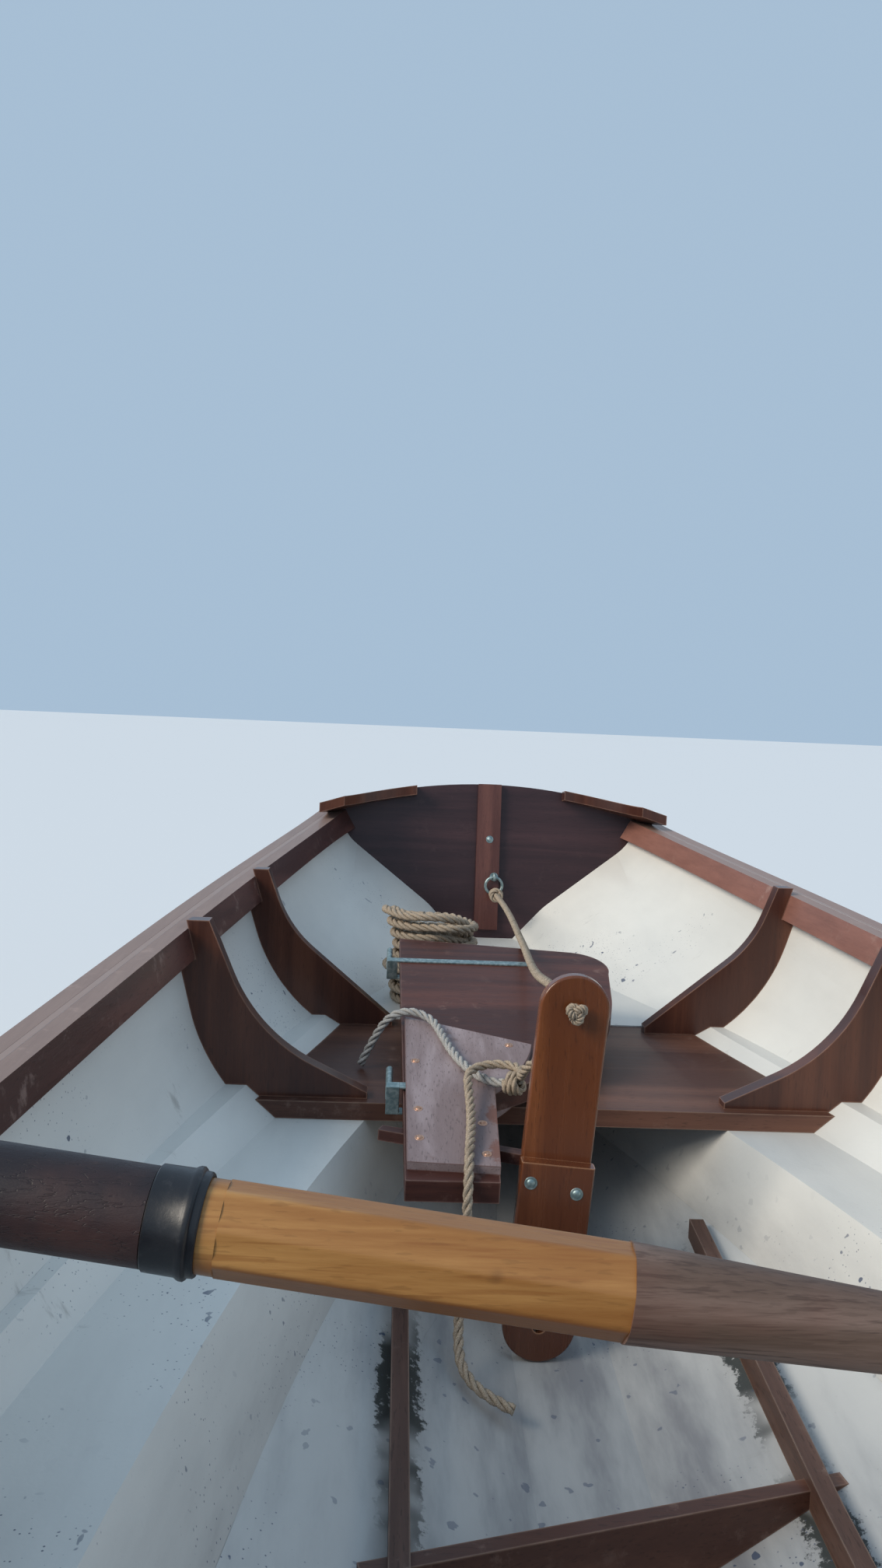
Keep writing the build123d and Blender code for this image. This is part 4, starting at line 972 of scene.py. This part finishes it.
# The stroke oar's collar: a smooth band, a raised bead and a narrower band towards the grip
collar_foot = middle_of("stroke_oar_collar")
oar_run = (middle_of("stroke_oar_leather") - collar_foot).normalized()
COLLAR_OUTLINE = (
    (0.0212, 0.0278), (0.0212, 0.0300), (0.0202, 0.0310), (0.0010, 0.0312), (-0.0005, 0.0322),
    (-0.0022, 0.0328), (-0.0042, 0.0328), (-0.0054, 0.0318), (-0.0060, 0.0306), (-0.0096, 0.0304),
    (-0.0106, 0.0296), (-0.0106, 0.0278),
)
black = MATERIALS["collar_black"]
collar = lathe("stroke_oar_button", black, STROKE, collar_foot, oar_run, COLLAR_OUTLINE)
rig.replaces(collar, "stroke_oar_collar")
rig.slot(collar, "collar_black")


# A head's height and its washer's thickness, as shares of the head's radius, and the washer's taper
HEAD_HIGH = 0.55
WASHER_THICK = 0.3
WASHER_TAPER = 0.94


def fastenings(name, material, places, out, radius, washer):
    """Round heads on washers; out is the way that they face, and washer its radius to the head's."""
    shape = bmesh.new()
    for place in places:
        seat = Matrix.Translation(place) @ Vector(out).to_track_quat("Z", "Y").to_matrix().to_4x4()
        head = seat @ Matrix.Diagonal((radius, radius, radius * HEAD_HIGH, 1))
        bmesh.ops.create_uvsphere(shape, u_segments=20, v_segments=10, radius=1, matrix=head)
        bmesh.ops.create_cone(
            shape,
            cap_ends=True,
            segments=28,
            radius1=radius * washer,
            radius2=radius * washer * WASHER_TAPER,
            depth=radius * WASHER_THICK,
            matrix=seat,
        )
    # the washers' flat ends have more corners than four
    for face in shape.faces:
        face.smooth = len(face.verts) < 5
    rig.slot(shape_of(shape, name, material), "galvanised")


# The rudder's own place: its slope, its origin at the seat's fore edge, the middle of its thickness,
# and the directions along it to its tip, across it and over it
RUDDER_SLOPE = radians(11)
RUDDER_ORIGIN = (-2.362, 0, 0.1903)
RUDDER_MIDDLE = 0.025
RUDDER_ALONG = (-cos(RUDDER_SLOPE), 0, sin(RUDDER_SLOPE))
RUDDER_ACROSS = (0, -1, 0)
RUDDER_OVER = (sin(RUDDER_SLOPE), 0, cos(RUDDER_SLOPE))
RUDDER_TURN = Matrix((RUDDER_ALONG, RUDDER_ACROSS, RUDDER_OVER)).transposed().to_4x4()
RUDDER = Matrix.Translation(RUDDER_ORIGIN) @ RUDDER_TURN

CHEEK_RIVETS = (
    (-2.3809, -0.1850, 0.2449), (-2.2563, -0.1820, 0.2207), (-2.1895, -0.1810, 0.2077),
    (-2.4349, -0.0500, 0.2554), (-2.2258, -0.1010, 0.2148), (-2.1581, -0.1000, 0.2016),
)
YOKE_BOLTS = ((-2.1320, -0.049, 0.178), (-2.1320, 0.006, 0.166))
# The transom's bolt is found by a ray that runs aft from here
BOLT_RAY = (-3.2, 0.003, 0.429)
zinc = MATERIALS["galvanised"]
fastenings("cheek_rivets", COPPER, CHEEK_RIVETS, RUDDER_OVER, radius=0.0042, washer=1.5)
fastenings("yoke_bolts", zinc, YOKE_BOLTS, (1, 0, 0), radius=0.0055, washer=1.45)
doubler = BVHTree.FromObject(NODES["transom_doubler"], bpy.context.evaluated_depsgraph_get())
bolt_seat, bolt_out = doubler.ray_cast(Vector(BOLT_RAY), Vector((-1, 0, 0)))[:2]
fastenings("transom_bolt", zinc, [bolt_seat], bolt_out, radius=0.007, washer=1.3)

# A strap's section, what its two ends add to its length, and its eased edges
STRAP_WIDE = 0.014
STRAP_THICK = 0.003
STRAP_OVER = 0.008
EASED = 0.0007
# The bridge between two straps: its middle, out from the rudder's edge, and its length that way
BRIDGE_OUT = 0.013
BRIDGE_LONG = 0.018
# The pin: its middle, out from the rudder's edge and along from its straps, and its sizes
PIN_OUT = 0.018
PIN_ALONG = 0.040
PIN_RADIUS = 0.005
PIN_LONG = 0.080
PIN_EASED = 0.0012
PINTLES = (
    # place along the rudder, its leading edge there, half the height between straps, strap length
    (-0.030, 0.202, 0.0175, 0.003), (0.400, 0.2085, 0.014, 0.224),
)


def plate(shape, middle, size):
    """A flat bar on the rudder with its edges eased."""
    seat = RUDDER @ Matrix.Translation(middle) @ Matrix.Diagonal((*size, 1))
    made = bmesh.ops.create_cube(shape, size=1, matrix=seat)["verts"]
    edges = list({edge for vert in made for edge in vert.link_edges})
    bmesh.ops.bevel(
        shape,
        geom=edges,
        offset=EASED,
        segments=2,
        affect="EDGES",
        profile=0.5,
        material=-1,
        clamp_overlap=True,
    )


def make_pintles():
    """Forged straps either side of the rudder, each pair bridged to its pin."""
    shape = bmesh.new()
    for along, edge, half, reach in PINTLES:
        middle = half + STRAP_THICK / 2
        for height in (-middle, middle):
            size = (STRAP_WIDE, reach + STRAP_OVER, STRAP_THICK)
            plate(shape, (along, edge - reach / 2, RUDDER_MIDDLE + height), size)
        size = (STRAP_WIDE, BRIDGE_LONG, 2 * (half + STRAP_THICK))
        plate(shape, (along, edge + BRIDGE_OUT, RUDDER_MIDDLE), size)
        pin = RUDDER @ Matrix.Translation((along + PIN_ALONG, edge + PIN_OUT, RUDDER_MIDDLE))
        made = bmesh.ops.create_cone(
            shape,
            cap_ends=True,
            segments=32,
            radius1=PIN_RADIUS,
            radius2=PIN_RADIUS,
            depth=PIN_LONG,
            matrix=pin @ Matrix.Rotation(pi / 2, 4, "Y"),
        )["verts"]
        around = {line for vert in made for line in vert.link_edges}
        rims = [line for line in around if line.is_manifold and line.calc_face_angle() > SHARP]
        bmesh.ops.bevel(
            shape,
            geom=rims,
            offset=PIN_EASED,
            segments=2,
            affect="EDGES",
            profile=0.5,
            material=-1,
        )
    fittings = shape_of(shape, "rudder_straps", zinc)
    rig.replaces(fittings, "rudder_pintles")
    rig.slot(fittings, "galvanised")


make_pintles()

# The floor at the waterline, open where the boat floats: its reach, where the hull is cut, half the
# thickness of the hull's wall, and a place outside the hull that rays come in from
FLOOR_REACH = 60.0
CUT_STEP = 0.045
FIRST_CUT = -80
LAST_CUT = 89
WALL_HALF = 0.004
OUTBOARD = 2.0
HULL = BVHTree.FromObject(NODES["hull_shell"], bpy.context.evaluated_depsgraph_get())


def hull_at_water(x):
    """Outer half width of the hull's cut at the water's surface, or None past its ends."""
    hit = HULL.ray_cast(Vector((x, OUTBOARD, 0)), Vector((0, -1, 0)))[0]
    return hit.y if hit else None


def make_floor(material):
    """A wide plane with a hole that the hull fills, cut just inside its outer face."""
    widths = [(i * CUT_STEP, hull_at_water(i * CUT_STEP)) for i in range(FIRST_CUT, LAST_CUT + 1)]
    port = [Vector((x, y - WALL_HALF, 0)) for x, y in widths if y and y > 2 * WALL_HALF]
    hole = port + [Vector((p.x, -p.y, 0)) for p in reversed(port)]
    square = [Vector((x, y, 0)) * FLOOR_REACH for x, y in ((1, 1), (1, -1), (-1, -1), (-1, 1))]
    floor = bmesh.new()
    for ring in (hole, square):
        corners = [floor.verts.new(p) for p in ring]
        for a, b in zip(corners, corners[1:] + corners[:1]):
            floor.edges.new((a, b))
    bmesh.ops.triangle_fill(floor, use_beauty=True, edges=floor.edges[:])
    for face in floor.faces:
        if face.normal.z < 0:
            face.normal_flip()
    mesh = bpy.data.meshes.new("floor_plane")
    floor.to_mesh(mesh)
    floor.free()
    mesh.materials.append(material)
    obj = bpy.data.objects.new("floor_plane", mesh)
    bpy.context.scene.collection.objects.link(obj)
    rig.stage(obj)


make_floor(Paint("pale_floor", Base_Color=(0.80, 0.81, 0.82, 1), Roughness=0.7).material)


def add_sun(place, energy, angle, colour):
    """A soft sun that shines from a place on the boat's middle."""
    data = bpy.data.lights.new("sun", "SUN")
    data.energy = energy
    data.color = colour
    data.angle = angle
    lamp = bpy.data.objects.new("sun", data)
    lamp.location = place
    lamp.rotation_euler = (-Vector(place)).to_track_quat("-Z", "Y").to_euler()
    bpy.context.scene.collection.objects.link(lamp)


def add_sky(colour, strength):
    """Even light from all round."""
    world = bpy.data.worlds.new("studio")
    bpy.context.scene.world = world
    world.use_nodes = True
    background = world.node_tree.nodes["Background"].inputs
    background["Color"].default_value = (*colour, 1)
    background["Strength"].default_value = strength


add_sun(place=(2.2, -4.0, 2.9), energy=2.4, angle=radians(28), colour=(1.0, 0.90, 0.76))
add_sky(colour=(0.59, 0.785, 1.0), strength=0.66)
bpy.context.scene.view_settings.view_transform = "Standard"

with open("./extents.json", "w") as sizes:
    json.dump([[list(c) for c in box] for box in (cad_box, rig.bounds())], sizes)
